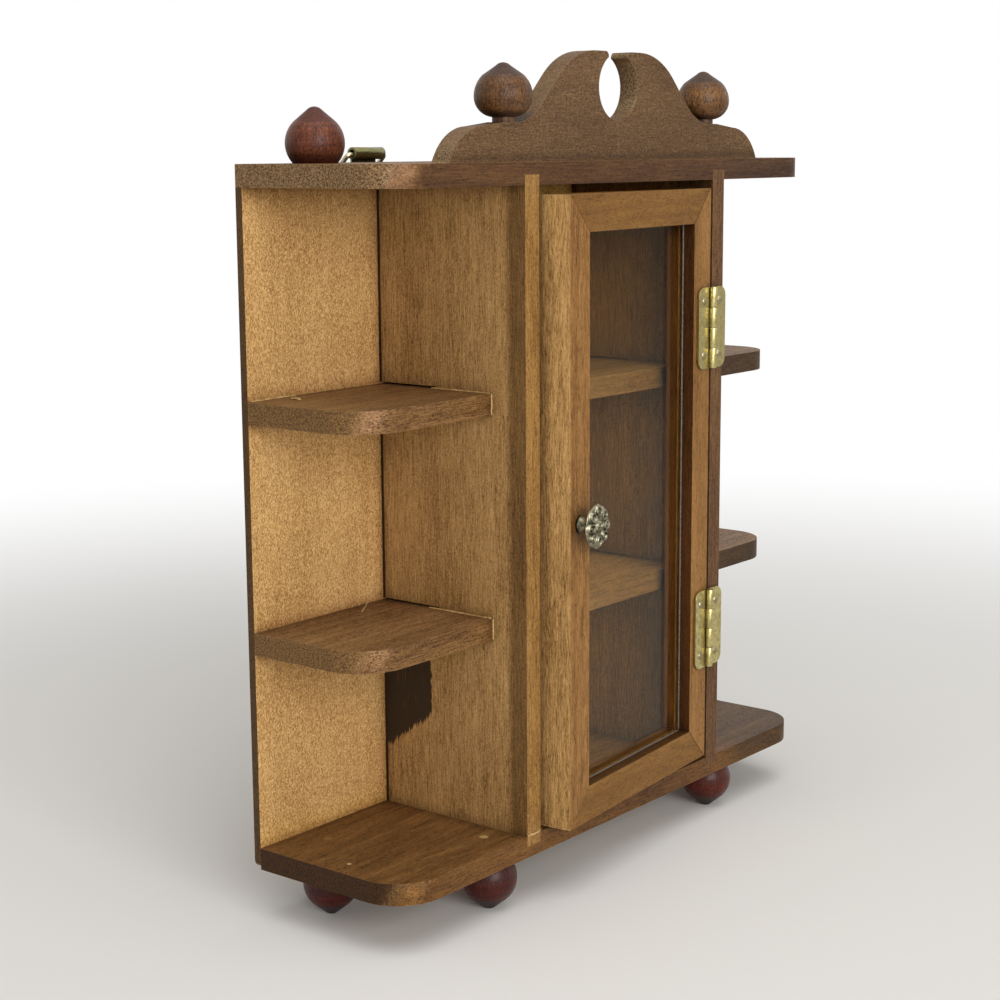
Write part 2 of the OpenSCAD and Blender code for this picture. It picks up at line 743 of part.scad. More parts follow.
// Hangers

// Hole for a hanger's screw, on the middle line of that hanger
module hanger_screw_hole() {
    translate([0, y_back + strap_t + cut, hanger_screw_z]) rotate([90, 0, 0])
        cylinder(h = cut + hanger_screw_len + pin_fit, r = hanger_screw_d / 2 + pin_fit);
}

// Strap on the back of the case, with its upper end rolled forward into a tube for the ring
module hanger_strap(side) {
    color("#7d7443") translate([side * hanger_x, 0, 0]) difference() {
        union() {
            translate([-tube_w / 2, tube_y, tube_z]) rotate([0, 90, 0])
                cylinder(h = tube_w, r = tube_d / 2);
            translate([-strap_w / 2, y_back, hanger_screw_z])
                cube([strap_w, strap_t, tube_z - hanger_screw_z]);
            translate([0, y_back + strap_t, hanger_screw_z]) rotate([90, 0, 0])
                cylinder(h = strap_t, r = strap_w / 2);
        }
        translate([-tube_w / 2 - cut, tube_y, tube_z]) rotate([0, 90, 0])
            cylinder(h = tube_w + 2 * cut, r = tube_bore_r);
        hanger_screw_hole();
    }
}

module left_hanger_strap() hanger_strap(-1);

module right_hanger_strap() hanger_strap(1);

// Part of a turn of the ring's wire in the XZ plane, about a centre and from one angle to another
module wire_bend(c, r, a0, a1) {
    translate([c[0], 0, c[1]]) rotate([90, 0, 0]) rotate([0, 0, a0]) rotate_extrude(angle = a1 - a0)
        translate([r, 0]) circle(r = ring_r, $fn = 24);
}

// D-shaped ring whose straight bar runs through the tube
module hanger_ring(side) {
    half = tube_w / 2 + ring_wire_d / 4;
    bow_r = half + ring_shoulder_r;
    bow_z = -ring_shoulder_r - ring_side_len;
    color("#a39a78") translate([side * hanger_x, tube_y, ring_z]) rotate([ring_lean, 0, 0]) {
        translate([-half, 0, 0]) rotate([0, 90, 0]) cylinder(h = 2 * half, r = ring_r, $fn = 24);
        wire_bend([half, -ring_shoulder_r], ring_shoulder_r, 0, 90);
        wire_bend([-half, -ring_shoulder_r], ring_shoulder_r, 90, 180);
        for (end = [-1, 1])
            translate([end * bow_r, 0, bow_z]) cylinder(h = ring_side_len, r = ring_r, $fn = 24);
        wire_bend([0, bow_z], bow_r, 180, 360);
    }
}

module left_hanger_ring() hanger_ring(-1);

module right_hanger_ring() hanger_ring(1);

module hanger_screws() {
    slot = hanger_screw_head_d / 8;
    h = hanger_screw_head_h;
    color("#8d8778") for (side = [-1, 1])
        translate([side * hanger_x, y_back + strap_t, hanger_screw_z]) rotate([90, 0, 0]) difference() {
            union() {
                cylinder(h = hanger_screw_len, r = hanger_screw_d / 2);
                translate([0, 0, -h])
                    cylinder(h = h, r1 = hanger_screw_head_d * 0.36, r2 = hanger_screw_head_d / 2);
            }
            translate([-hanger_screw_head_d, -slot / 2, -h - cut])
                cube([2 * hanger_screw_head_d, slot, cut + h / 2]);
        }
}

top_board();
bottom_board();
left_divider();
right_divider();
upper_shelf();
lower_shelf();
back_panel();
panel_pins();
pediment();
pediment_dowels();
pediment_finial_left();
pediment_finial_right();
wing_ball_left();
wing_ball_right();
front_foot_left();
front_foot_right();
rear_foot_left();
rear_foot_right();
door_hinge_stile();
door_closing_stile();
door_top_rail();
door_bottom_rail();
door_glass();
door_knob();
door_knob_screw();
upper_hinge_case_leaf();
upper_hinge_door_leaf();
upper_hinge_pin();
lower_hinge_case_leaf();
lower_hinge_door_leaf();
lower_hinge_pin();
hinge_case_nails();
hinge_door_nails();
left_hanger_strap();
left_hanger_ring();
right_hanger_strap();
right_hanger_ring();
hanger_screws();
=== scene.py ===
"""Looks of the thimble display case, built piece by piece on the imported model.

All places are in the part's frame, in metres, unless a name ends in _mm.
"""
from __future__ import annotations

import logging
import math
from dataclasses import dataclass, replace
from enum import Enum
from typing import Optional, Sequence, Union

import bmesh
import bpy
from mathutils import Matrix, Vector, noise


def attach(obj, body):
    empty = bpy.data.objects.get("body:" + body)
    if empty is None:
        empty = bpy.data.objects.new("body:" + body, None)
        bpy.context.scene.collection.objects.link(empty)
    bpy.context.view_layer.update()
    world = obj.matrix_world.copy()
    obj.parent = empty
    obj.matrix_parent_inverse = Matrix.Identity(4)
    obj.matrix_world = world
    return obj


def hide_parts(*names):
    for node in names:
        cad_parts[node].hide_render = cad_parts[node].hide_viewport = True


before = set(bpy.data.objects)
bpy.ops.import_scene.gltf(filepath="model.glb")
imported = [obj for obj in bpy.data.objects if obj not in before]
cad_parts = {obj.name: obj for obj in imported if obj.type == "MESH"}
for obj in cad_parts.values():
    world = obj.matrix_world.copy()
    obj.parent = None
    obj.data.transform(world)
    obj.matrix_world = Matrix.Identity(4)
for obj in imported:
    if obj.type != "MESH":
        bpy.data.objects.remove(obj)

LOG = logging.getLogger("thimble_case")
MM = 0.001

Rgb = tuple[int, int, int]
Point = tuple[float, float, float]
Fed = Union[float, Sequence[float], bpy.types.NodeSocket]

FRONT: Point = (0.0, -1.0, 0.0)
BACK: Point = (0.0, 1.0, 0.0)
LEFT: Point = (-1.0, 0.0, 0.0)
RIGHT: Point = (1.0, 0.0, 0.0)
UP: Point = (0.0, 0.0, 1.0)
DOWN: Point = (0.0, 0.0, -1.0)
CORNER_LEFT: Point = (-0.64, -0.77, 0.0)
CORNER_RIGHT: Point = (0.64, -0.77, 0.0)
# The door stands ajar, so its own front and left differ from the case's.
DOOR_FRONT: Point = (0.10106, -0.99488, 0.0)
DOOR_LEFT: Point = (-0.99488, -0.10106, 0.0)

WELD_M = 1e-6
FLAT_DEG = 0.3
STRAND_STEP_MM = 0.5
STRAND_END = 0.35
OFF_AXIS: Point = (0.31, 0.17, 0.93)


class Run(Enum):
    """Which way the fibres of a wooden piece run."""

    WIDTH = (1.0, 0.0, 0.0)
    UPRIGHT = (0.0, 0.0, 1.0)
    ACROSS_DOOR = (0.99488, 0.10106, 0.0)


class Kind(Enum):
    """Kinds of socket that an effect takes in or gives out."""

    NUMBER = "NodeSocketFloat"
    COLOUR = "NodeSocketColor"
    VECTOR = "NodeSocketVector"


def linear(colour: Rgb) -> tuple[float, float, float, float]:
    """Turns an eight-bit screen colour into the renderer's linear one.

    Args:
        colour: Red, green and blue from 0 to 255.

    Returns:
        Linear red, green and blue, with an alpha of 1.
    """

    def step(value: int) -> float:
        """One channel from 0 to 255, made linear."""
        v = value / 255
        return v / 12.92 if v <= 0.04045 else ((v + 0.055) / 1.055) ** 2.4

    return step(colour[0]), step(colour[1]), step(colour[2]), 1.0


class Graph:
    """Adds nodes to one node tree and joins them."""

    def __init__(self, tree: bpy.types.NodeTree) -> None:
        """Keeps the tree that the nodes go into.

        Args:
            tree: A material's, world's or group's node tree.
        """
        self.tree = tree

    def node(self, kind: str, **settings: object) -> bpy.types.Node:
        """Adds a node.

        Args:
            kind: The node's type name.
            **settings: Properties to set on it.

        Returns:
            The new node.
        """
        made = self.tree.nodes.new(kind)
        for name, value in settings.items():
            setattr(made, name, value)
        return made

    def feed(self, socket: bpy.types.NodeSocket, value: Fed) -> None:
        """Links a socket, or sets its value.

        Args:
            socket: The input to fill.
            value: Another node's output, a number, or a list of numbers.
        """
        if isinstance(value, bpy.types.NodeSocket):
            self.tree.links.new(value, socket)
        else:
            socket.default_value = value

    def math(self, how: str, *values: Fed, clamp: bool = False) -> bpy.types.NodeSocket:
        """One step of arithmetic.

        Args:
            how: The operation's name.
            *values: What goes in, in order.
            clamp: Whether the result is kept from 0 to 1.

        Returns:
            The result's socket.
        """
        made = self.node("ShaderNodeMath", operation=how, use_clamp=clamp)
        for socket, value in zip(made.inputs, values):
            self.feed(socket, value)
        return made.outputs[0]

    def vector(self, how: str, *values: Fed) -> bpy.types.NodeSocket:
        """One step of vector arithmetic.

        Args:
            how: The operation's name; SCALE takes a vector and a number.
            *values: What goes in, in order.

        Returns:
            The result's socket, a number for DOT_PRODUCT and LENGTH.
        """
        made = self.node("ShaderNodeVectorMath", operation=how)
        if how == "SCALE":
            self.feed(made.inputs[0], values[0])
            self.feed(made.inputs[3], values[1])
        else:
            for socket, value in zip(made.inputs, values):
                self.feed(socket, value)
        return made.outputs[1 if how in ("DOT_PRODUCT", "LENGTH", "DISTANCE") else 0]

    def span(self, value: Fed, low: float, high: float, to_low: Fed = 0.0, to_high: Fed = 1.0,
             smooth: bool = True) -> bpy.types.NodeSocket:
        """Maps one range of numbers onto another.

        Args:
            value: What is mapped.
            low: The value that gives to_low.
            high: The value that gives to_high.
            to_low: The result at low and below.
            to_high: The result at high and above.
            smooth: Whether the ends are eased.

        Returns:
            The result's socket.
        """
        made = self.node("ShaderNodeMapRange", interpolation_type="SMOOTHSTEP" if smooth else "LINEAR")
        for index, item in enumerate((value, low, high, to_low, to_high)):
            self.feed(made.inputs[index], item)
        return made.outputs[0]

    def blend(self, share: Fed, first: Fed, second: Fed, how: str = "MIX") -> bpy.types.NodeSocket:
        """Mixes two colours.

        Args:
            share: How much of the second colour, from 0 to 1.
            first: The colour at 0.
            second: The colour at 1.
            how: The mixing mode's name.

        Returns:
            The mixed colour's socket.
        """
        made = self.node("ShaderNodeMix", data_type="RGBA", blend_type=how)
        self.feed(made.inputs[0], share)
        self.feed(made.inputs[6], first)
        self.feed(made.inputs[7], second)
        return made.outputs[2]

    def cloud(self, place: Fed, scale: float, detail: float = 2.0, rough: float = 0.5,
              twist: float = 0.0) -> bpy.types.NodeSocket:
        """Soft noise from 0 to 1.

        Args:
            place: Where it is read.
            scale: Features per unit of place.
            detail: How many finer layers it has.
            rough: How strong the finer layers are.
            twist: How far it is warped.

        Returns:
            The noise value's socket.
        """
        made = self.node("ShaderNodeTexNoise")
        for name, value in (("Vector", place), ("Scale", scale), ("Detail", detail),
                            ("Roughness", rough), ("Distortion", twist)):
            self.feed(made.inputs[name], value)
        return made.outputs[0]

    def swing(self, value: Fed, strength: Fed) -> bpy.types.NodeSocket:
        """How far a noise value is from its middle, times a strength."""
        return self.math("MULTIPLY", self.math("SUBTRACT", value, 0.5), strength)

    def nooks(self, reach: Fed) -> bpy.types.NodeSocket:
        """How far a place is closed in, from 0 on an open face to 1 in a nook.

        Args:
            reach: How far off a neighbour still counts.

        Returns:
            The share's socket.
        """
        near = self.node("ShaderNodeAmbientOcclusion", samples=6)
        self.feed(near.inputs["Distance"], reach)
        return self.span(near.outputs["AO"], 0.95, 0.35)

    def here(self) -> tuple[bpy.types.NodeSocket, bpy.types.NodeSocket]:
        """The place on the piece in millimetres, and the way its surface faces."""
        coords = self.node("ShaderNodeTexCoord").outputs
        return self.vector("SCALE", coords["Object"], 1 / MM), coords["Normal"]

    def bump(self, shader: bpy.types.Node, height: Fed, depth_mm: float) -> None:
        """Gives a shader a fine relief.

        Args:
            shader: The shader that takes it.
            height: The relief, from 0 to about 1.
            depth_mm: How deep a height of 1 is.
        """
        made = self.node("ShaderNodeBump")
        made.inputs["Distance"].default_value = depth_mm * MM
        self.feed(made.inputs["Height"], height)
        self.feed(shader.inputs["Normal"], made.outputs[0])

    def mix_out(self, share: Fed, first: bpy.types.Node, second: bpy.types.Node) -> None:
        """Mixes two shaders on the tree's output.

        Args:
            share: How much of the second shader, from 0 to 1.
            first: The shader at 0.
            second: The shader at 1.
        """
        mix = self.node("ShaderNodeMixShader")
        for socket, value in zip(mix.inputs, (share, first.outputs[0], second.outputs[0])):
            self.feed(socket, value)
        end = next(n for n in self.tree.nodes if n.type in ("OUTPUT_MATERIAL", "OUTPUT_WORLD"))
        self.feed(end.inputs["Surface"], mix.outputs[0])


class Effect:
    """A shader node group with named inputs and outputs."""

    def __init__(self, title: str, takes: dict[str, Kind], gives: dict[str, Kind]) -> None:
        """Makes the empty group.

        Args:
            title: The group's name.
            takes: Its inputs.
            gives: Its outputs.
        """
        self.tree = bpy.data.node_groups.new(title, "ShaderNodeTree")
        for name, kind in takes.items():
            self.tree.interface.new_socket(name=name, in_out="INPUT", socket_type=kind.value)
        for name, kind in gives.items():
            self.tree.interface.new_socket(name=name, in_out="OUTPUT", socket_type=kind.value)
        self.graph = Graph(self.tree)
        self.into = self.graph.node("NodeGroupInput").outputs
        self.out = self.graph.node("NodeGroupOutput").inputs

    def give(self, name: str, value: Fed) -> None:
        """Joins a result to one of the group's outputs."""
        self.graph.feed(self.out[name], value)


class Effects:
    """The node groups that the finishes share, each built once."""

    def __init__(self) -> None:
        """Builds every group."""
        self.grain = self._grain()
        self.arris = self._arris()
        self.shade = self._shade()
        self.lathe = self._lathe()
        self.tarnish = self._tarnish()
        self.smudge = self._smudge()
        self.patch = self._patch()

    @staticmethod
    def place(graph: Graph, group: bpy.types.NodeTree, **values: Fed) -> bpy.types.bpy_prop_collection:
        """Places a group in a material.

        Args:
            graph: The material's graph.
            group: The group to place.
            **values: Its inputs, with _ for a space.

        Returns:
            The placed group's outputs.
        """
        made = graph.node("ShaderNodeGroup", node_tree=group)
        for name, value in values.items():
            graph.feed(made.inputs[name.replace("_", " ")], value)
        return made.outputs

    @staticmethod
    def _grain() -> bpy.types.NodeTree:
        """Stained, open-grained timber: long figure, fibres, short pores, mottled stain, end wood.

        Returns:
            The group's tree.
        """
        takes = {"Place": Kind.VECTOR, "Along": Kind.VECTOR, "Facing": Kind.VECTOR,
                 "Deep": Kind.COLOUR, "Middle": Kind.COLOUR, "Pale": Kind.COLOUR, "End wood": Kind.COLOUR,
                 "Figure": Kind.NUMBER, "Fibre": Kind.NUMBER, "Pores": Kind.NUMBER,
                 "Mottle": Kind.NUMBER, "Wave": Kind.NUMBER, "Shift": Kind.NUMBER}
        made = Effect("stained_grain", takes,
                      {"Colour": Kind.COLOUR, "Relief": Kind.NUMBER, "Dryness": Kind.NUMBER})
        g, into = made.graph, made.into
        shifted = g.vector("ADD", into["Place"], g.vector("SCALE", (1.7, 3.1, 2.3), into["Shift"]))
        sway = g.swing(g.cloud(shifted, 0.11, 1, 0.5), into["Wave"])
        place = g.vector("ADD", shifted, g.vector("SCALE", (1.0, 1.0, 1.0), sway))
        depth = g.vector("DOT_PRODUCT", place, into["Along"])

        def drawn_out(length: float) -> bpy.types.NodeSocket:
            """The place squeezed along the fibres, so that a spot there becomes a streak."""
            back = g.vector("SCALE", into["Along"], g.math("MULTIPLY", depth, 1 - 1 / length))
            return g.vector("SUBTRACT", place, back)

        figure = g.cloud(drawn_out(20), 0.3, 3, 0.6, 0.5)
        fibre = g.cloud(drawn_out(16), 2.3, 2, 0.65)
        pore = g.cloud(drawn_out(3.4), 2.5, 1, 0.5)
        mottle = g.cloud(drawn_out(1.5), 2.4, 2, 0.8)
        cloud = g.cloud(drawn_out(2.5), 0.045, 2, 0.5)
        pores = g.span(pore, 0.54, 0.68)
        tone = g.math("ADD", 0.5, g.swing(figure, into["Figure"]))
        tone = g.math("ADD", tone, g.swing(fibre, into["Fibre"]))
        tone = g.math("ADD", tone, g.swing(mottle, into["Mottle"]))
        tone = g.math("ADD", tone, g.swing(cloud, 0.6))
        tone = g.math("SUBTRACT", tone, g.math("MULTIPLY", g.math("SUBTRACT", pores, 0.2), into["Pores"]))
        lower = g.math("MULTIPLY", tone, 2.0, clamp=True)
        upper = g.math("SUBTRACT", g.math("MULTIPLY", tone, 2.0), 1.0, clamp=True)
        face = g.blend(upper, g.blend(lower, into["Deep"], into["Middle"]), into["Pale"])
        sawn = g.cloud(place, 2.1, 3, 0.85)
        end = g.blend(g.span(sawn, 0.36, 0.64), into["Deep"], into["End wood"])
        end_share = g.span(g.math("ABSOLUTE", g.vector("DOT_PRODUCT", into["Facing"], into["Along"])),
                           0.66, 0.8)
        made.give("Colour", g.blend(end_share, face, end))
        relief = g.math("ADD", g.math("MULTIPLY", fibre, 0.5), g.math("MULTIPLY", mottle, 0.6))
        relief = g.math("SUBTRACT", relief, g.math("MULTIPLY", pores, 0.35))
        made.give("Relief", g.math("ADD", relief, g.math("MULTIPLY", sawn, end_share)))
        dry = g.math("ADD", g.math("MULTIPLY", pores, 0.5), g.math("MULTIPLY", mottle, 0.6))
        made.give("Dryness", g.math("ADD", dry, g.math("MULTIPLY", end_share, 0.4), clamp=True))
        return made.tree

    @staticmethod
    def _arris() -> bpy.types.NodeTree:
        """Where an arris is rubbed, broken up along its length.

        Returns:
            The group's tree.
        """
        made = Effect("rubbed_arris", {"Place": Kind.VECTOR, "Reach": Kind.NUMBER}, {"Rubbed": Kind.NUMBER})
        g, into = made.graph, made.into
        bevel = g.node("ShaderNodeBevel", samples=4)
        g.feed(bevel.inputs["Radius"], into["Reach"])
        plain = g.node("ShaderNodeNewGeometry").outputs["Normal"]
        turn = g.math("SUBTRACT", 1.0, g.vector("DOT_PRODUCT", bevel.outputs[0], plain))
        worn = g.span(turn, 0.01, 0.16)
        broken = g.span(g.cloud(into["Place"], 0.35, 4, 0.75), 0.36, 0.6)
        made.give("Rubbed", g.math("MULTIPLY", worn, broken))
        return made.tree

    @staticmethod
    def _shade() -> bpy.types.NodeTree:
        """Painted shade where two pieces meet and in nooks, found by ambient occlusion.

        Returns:
            The group's tree.
        """
        made = Effect("painted_nook_shade", {"Reach": Kind.NUMBER}, {"Shade": Kind.NUMBER})
        g, into = made.graph, made.into
        made.give("Shade", g.nooks(into["Reach"]))
        return made.tree

    @staticmethod
    def _lathe() -> bpy.types.NodeTree:
        """Fine rings that a chisel leaves on turned wood, and the bands where stain sits in them.

        Returns:
            The group's tree.
        """
        made = Effect("lathe_rings", {"Place": Kind.VECTOR}, {"Rings": Kind.NUMBER, "Bands": Kind.NUMBER})
        g, into = made.graph, made.into
        flat = g.vector("MULTIPLY", into["Place"], (0.02, 0.02, 1.0))
        made.give("Rings", g.cloud(flat, 3.2, 2, 0.7))
        made.give("Bands", g.span(g.cloud(flat, 0.55, 2, 0.5), 0.35, 0.65))
        return made.tree

    @staticmethod
    def _tarnish() -> bpy.types.NodeTree:
        """Brass that has dulled unevenly and has fine draw marks.

        Returns:
            The group's tree.
        """
        takes = {"Place": Kind.VECTOR, "Bright": Kind.COLOUR, "Dull": Kind.COLOUR, "Crust": Kind.COLOUR,
                 "Amount": Kind.NUMBER, "Reach": Kind.NUMBER}
        made = Effect("brass_tarnish", takes,
                      {"Colour": Kind.COLOUR, "Roughness": Kind.NUMBER, "Relief": Kind.NUMBER})
        g, into = made.graph, made.into
        patches = g.cloud(into["Place"], 0.55, 4, 0.7)
        spots = g.span(g.cloud(into["Place"], 2.6, 3, 0.7), 0.56, 0.7)
        drawn = g.cloud(g.vector("MULTIPLY", into["Place"], (6.0, 6.0, 0.5)), 1.0, 2, 0.6)
        nooks = g.nooks(into["Reach"])
        dulled = g.math("MULTIPLY", g.span(patches, 0.3, 0.7), into["Amount"], clamp=True)
        colour = g.blend(dulled, into["Bright"], into["Dull"])
        crusted = g.math("MULTIPLY", g.math("ADD", nooks, g.math("MULTIPLY", spots, 0.5)),
                         into["Amount"], clamp=True)
        made.give("Colour", g.blend(crusted, colour, into["Crust"]))
        rough = g.math("ADD", g.math("MULTIPLY", dulled, 0.3), g.math("MULTIPLY", crusted, 0.35))
        made.give("Roughness", g.math("ADD", g.math("ADD", rough, 0.14), g.math("MULTIPLY", drawn, 0.12)))
        made.give("Relief", g.math("ADD", g.math("MULTIPLY", drawn, 0.6), g.math("MULTIPLY", spots, 0.5)))
        return made.tree

    @staticmethod
    def _smudge() -> bpy.types.NodeTree:
        """Wiped dust on a pane.

        Returns:
            The group's tree.
        """
        made = Effect("pane_smudge", {"Place": Kind.VECTOR}, {"Haze": Kind.NUMBER, "Wave": Kind.NUMBER})
        g, into = made.graph, made.into
        wiped = g.cloud(g.vector("MULTIPLY", into["Place"], (0.06, 0.06, 0.02)), 1.0, 4, 0.7, 1.2)
        dust = g.span(g.cloud(into["Place"], 1.4, 3, 0.8), 0.55, 0.75)
        made.give("Haze", g.math("ADD", g.span(wiped, 0.4, 0.75), g.math("MULTIPLY", dust, 0.6)))
        made.give("Wave", g.cloud(into["Place"], 0.02, 1, 0.5))
        return made.tree

    @staticmethod
    def _patch() -> bpy.types.NodeTree:
        """An egg-shaped place with a ragged border, such as a chip or a run of stain.

        Returns:
            The group's tree.
        """
        takes = {"Place": Kind.VECTOR, "Centre": Kind.VECTOR, "Reach": Kind.VECTOR, "Ragged": Kind.NUMBER}
        made = Effect("ragged_patch", takes, {"Inside": Kind.NUMBER})
        g, into = made.graph, made.into
        away = g.vector("DIVIDE", g.vector("SUBTRACT", into["Place"], into["Centre"]), into["Reach"])
        wobble = g.swing(g.cloud(into["Place"], 1.2, 3, 0.7), into["Ragged"])
        made.give("Inside", g.span(g.math("ADD", g.vector("LENGTH", away), wobble), 1.06, 0.94))
        return made.tree


@dataclass(frozen=True)
class Spot:
    """A small place on a piece with its own colour, such as a chip down to bare wood."""

    centre_mm: Point
    reach_mm: Point
    colour: Rgb
    ragged: float = 0.8


@dataclass(frozen=True)
class Tone:
    """A change of tone held to the side that a surface faces, to a band across the piece, or to both; it
    carries painted light and shade as well as stain.
    """

    gain: Point
    toward: Optional[Point] = None
    facing: tuple[float, float] = (0.6, 0.85)
    axis: Optional[Point] = None
    band_mm: tuple[float, float] = (0.0, 1.0)
    ragged_mm: float = 0.0

    def apply(self, g: Graph, colour: Fed, place: bpy.types.NodeSocket,
              facing: bpy.types.NodeSocket) -> bpy.types.NodeSocket:
        """Lays the tone over a colour.

        Args:
            g: The material's graph.
            colour: The colour under it.
            place: The place on the piece, in millimetres.
            facing: The way the surface faces.

        Returns:
            The toned colour.
        """
        share: Fed = 1.0
        if self.toward:
            share = g.span(g.vector("DOT_PRODUCT", facing, self.toward), *self.facing)
        if self.axis:
            across = g.vector("DOT_PRODUCT", place, self.axis)
            if self.ragged_mm:
                across = g.math("ADD", across, g.swing(g.cloud(place, 0.5, 3, 0.7), self.ragged_mm))
            share = g.math("MULTIPLY", share, g.span(across, *self.band_mm))
        return g.blend(share, colour, (*self.gain, 1.0), "MULTIPLY")


@dataclass(frozen=True)
class SpiltStain:
    """Dark stain that was brushed past a shelf: a straight side edge and a slanting, bristly lower edge."""

    side_y_mm: float = 7.2
    lower_y_mm: float = 8.8
    lower_z_mm: float = 49.4
    slant: float = 0.72
    top_z_mm: float = 77.5
    colour: Rgb = (52, 39, 26)

    def mask(self, g: Graph, place: bpy.types.NodeSocket) -> bpy.types.NodeSocket:
        """Builds the stain's outline.

        Args:
            g: The material's graph.
            place: The place on the piece, in millimetres.

        Returns:
            1 inside the stain and 0 outside.
        """
        parts = g.node("ShaderNodeSeparateXYZ")
        g.feed(parts.inputs[0], place)
        y, z = parts.outputs[1], parts.outputs[2]
        bristles = g.cloud(g.vector("MULTIPLY", place, (0.2, 1.6, 0.07)), 1.0, 2, 0.6)
        wobble = g.cloud(g.vector("MULTIPLY", place, (0.1, 0.1, 0.35)), 1.0, 2, 0.6)
        side = g.math("ADD", g.math("SUBTRACT", y, self.side_y_mm), g.swing(wobble, 2.4))
        drop = g.math("ADD", g.math("SUBTRACT", z, self.lower_z_mm),
                      g.math("MULTIPLY", g.math("SUBTRACT", y, self.lower_y_mm), self.slant))
        drop = g.math("ADD", drop, g.swing(bristles, 7.0))
        inside = g.math("MULTIPLY", g.span(side, -0.1, 0.35), g.span(drop, -0.3, 0.8))
        thin = g.span(bristles, 0.62, 0.78, 1.0, 0.72)
        below_shelf = g.span(z, self.top_z_mm, self.top_z_mm - 0.5)
        return g.math("MULTIPLY", g.math("MULTIPLY", inside, below_shelf), thin)


@dataclass(frozen=True)
class StainedWood:
    """Timber under a thin brown stain, rubbed along its arrises, with painted shade in its nooks."""

    title: str
    deep: Rgb
    middle: Rgb
    pale: Rgb
    end: Rgb
    run: Run = Run.UPRIGHT
    figure: float = 1.1
    fibre: float = 0.9
    pores: float = 0.35
    mottle: float = 1.0
    wave: float = 0.6
    rubbed: Rgb = (196, 152, 98)
    wear: float = 0.25
    wear_reach_mm: float = 0.55
    gloss: tuple[float, float] = (0.42, 0.7)
    sheen_level: float = 0.2
    relief_mm: float = 0.09
    # Strength and reach of the painted shade in nooks.
    nook_shade: float = 0.55
    nook_shade_mm: float = 5.0
    shift: float = 0.0
    coat: float = 0.0
    coat_rough: float = 0.22
    turned: bool = False
    tones: tuple[Tone, ...] = ()
    spots: tuple[Spot, ...] = ()
    spilt: Optional[SpiltStain] = None

    def build(self, effects: Effects) -> bpy.types.Material:
        """Makes the material.

        Args:
            effects: The shared node groups.

        Returns:
            The new material.
        """
        material, g, shader = blank_material(self.title)
        place, facing = g.here()
        grain = effects.place(
            g, effects.grain, Place=place, Along=self.run.value, Facing=facing,
            Deep=linear(self.deep), Middle=linear(self.middle), Pale=linear(self.pale),
            End_wood=linear(self.end), Figure=self.figure, Fibre=self.fibre, Pores=self.pores,
            Mottle=self.mottle, Wave=self.wave, Shift=self.shift)
        colour, relief = grain["Colour"], grain["Relief"]
        if self.turned:
            rings = effects.place(g, effects.lathe, Place=place)
            share = g.math("MULTIPLY", rings["Bands"], 0.4)
            colour = g.blend(share, colour, linear(self.deep))
            relief = g.math("ADD", relief, g.math("MULTIPLY", rings["Rings"], 0.35))
        worn = effects.place(g, effects.arris, Place=place, Reach=self.wear_reach_mm * MM)["Rubbed"]
        colour = g.blend(g.math("MULTIPLY", worn, self.wear), colour, linear(self.rubbed))
        for tone in self.tones:
            colour = tone.apply(g, colour, place, facing)
        for spot in self.spots:
            inside = effects.place(g, effects.patch, Place=place, Centre=spot.centre_mm,
                                   Reach=spot.reach_mm, Ragged=spot.ragged)["Inside"]
            colour = g.blend(inside, colour, linear(spot.colour))
        if self.spilt:
            colour = g.blend(self.spilt.mask(g, place), colour, linear(self.spilt.colour))
        # Painted shade: the colour is darkened towards the deep tone where neighbouring pieces close the
        # surface in.
        dark = effects.place(g, effects.shade, Reach=self.nook_shade_mm * MM)["Shade"]
        colour = g.blend(g.math("MULTIPLY", dark, self.nook_shade), colour, linear(self.deep), "MULTIPLY")
        g.feed(shader.inputs["Base Color"], colour)
        rough = g.span(grain["Dryness"], 0.0, 1.0, *self.gloss, smooth=False)
        g.feed(shader.inputs["Roughness"], rough)
        shader.inputs["Specular IOR Level"].default_value = self.sheen_level
        shader.inputs["Coat Weight"].default_value = self.coat
        shader.inputs["Coat Roughness"].default_value = self.coat_rough
        g.bump(shader, relief, self.relief_mm)
        return material


@dataclass(frozen=True)
class Brass:
    """Brass sheet or casting, from freshly drawn to antique."""

    title: str
    bright: Rgb
    dull: Rgb
    crust: Rgb
    amount: float
    relief_mm: float = 0.02
    reach_mm: float = 1.2

    def build(self, effects: Effects) -> bpy.types.Material:
        """Makes the material.

        Args:
            effects: The shared node groups.

        Returns:
            The new material.
        """
        material, g, shader = blank_material(self.title)
        place, _ = g.here()
        metal = effects.place(g, effects.tarnish, Place=place, Bright=linear(self.bright),
                              Dull=linear(self.dull), Crust=linear(self.crust), Amount=self.amount,
                              Reach=self.reach_mm * MM)
        shader.inputs["Metallic"].default_value = 1.0
        g.feed(shader.inputs["Base Color"], metal["Colour"])
        g.feed(shader.inputs["Roughness"], metal["Roughness"])
        g.bump(shader, metal["Relief"], self.relief_mm)
        return material


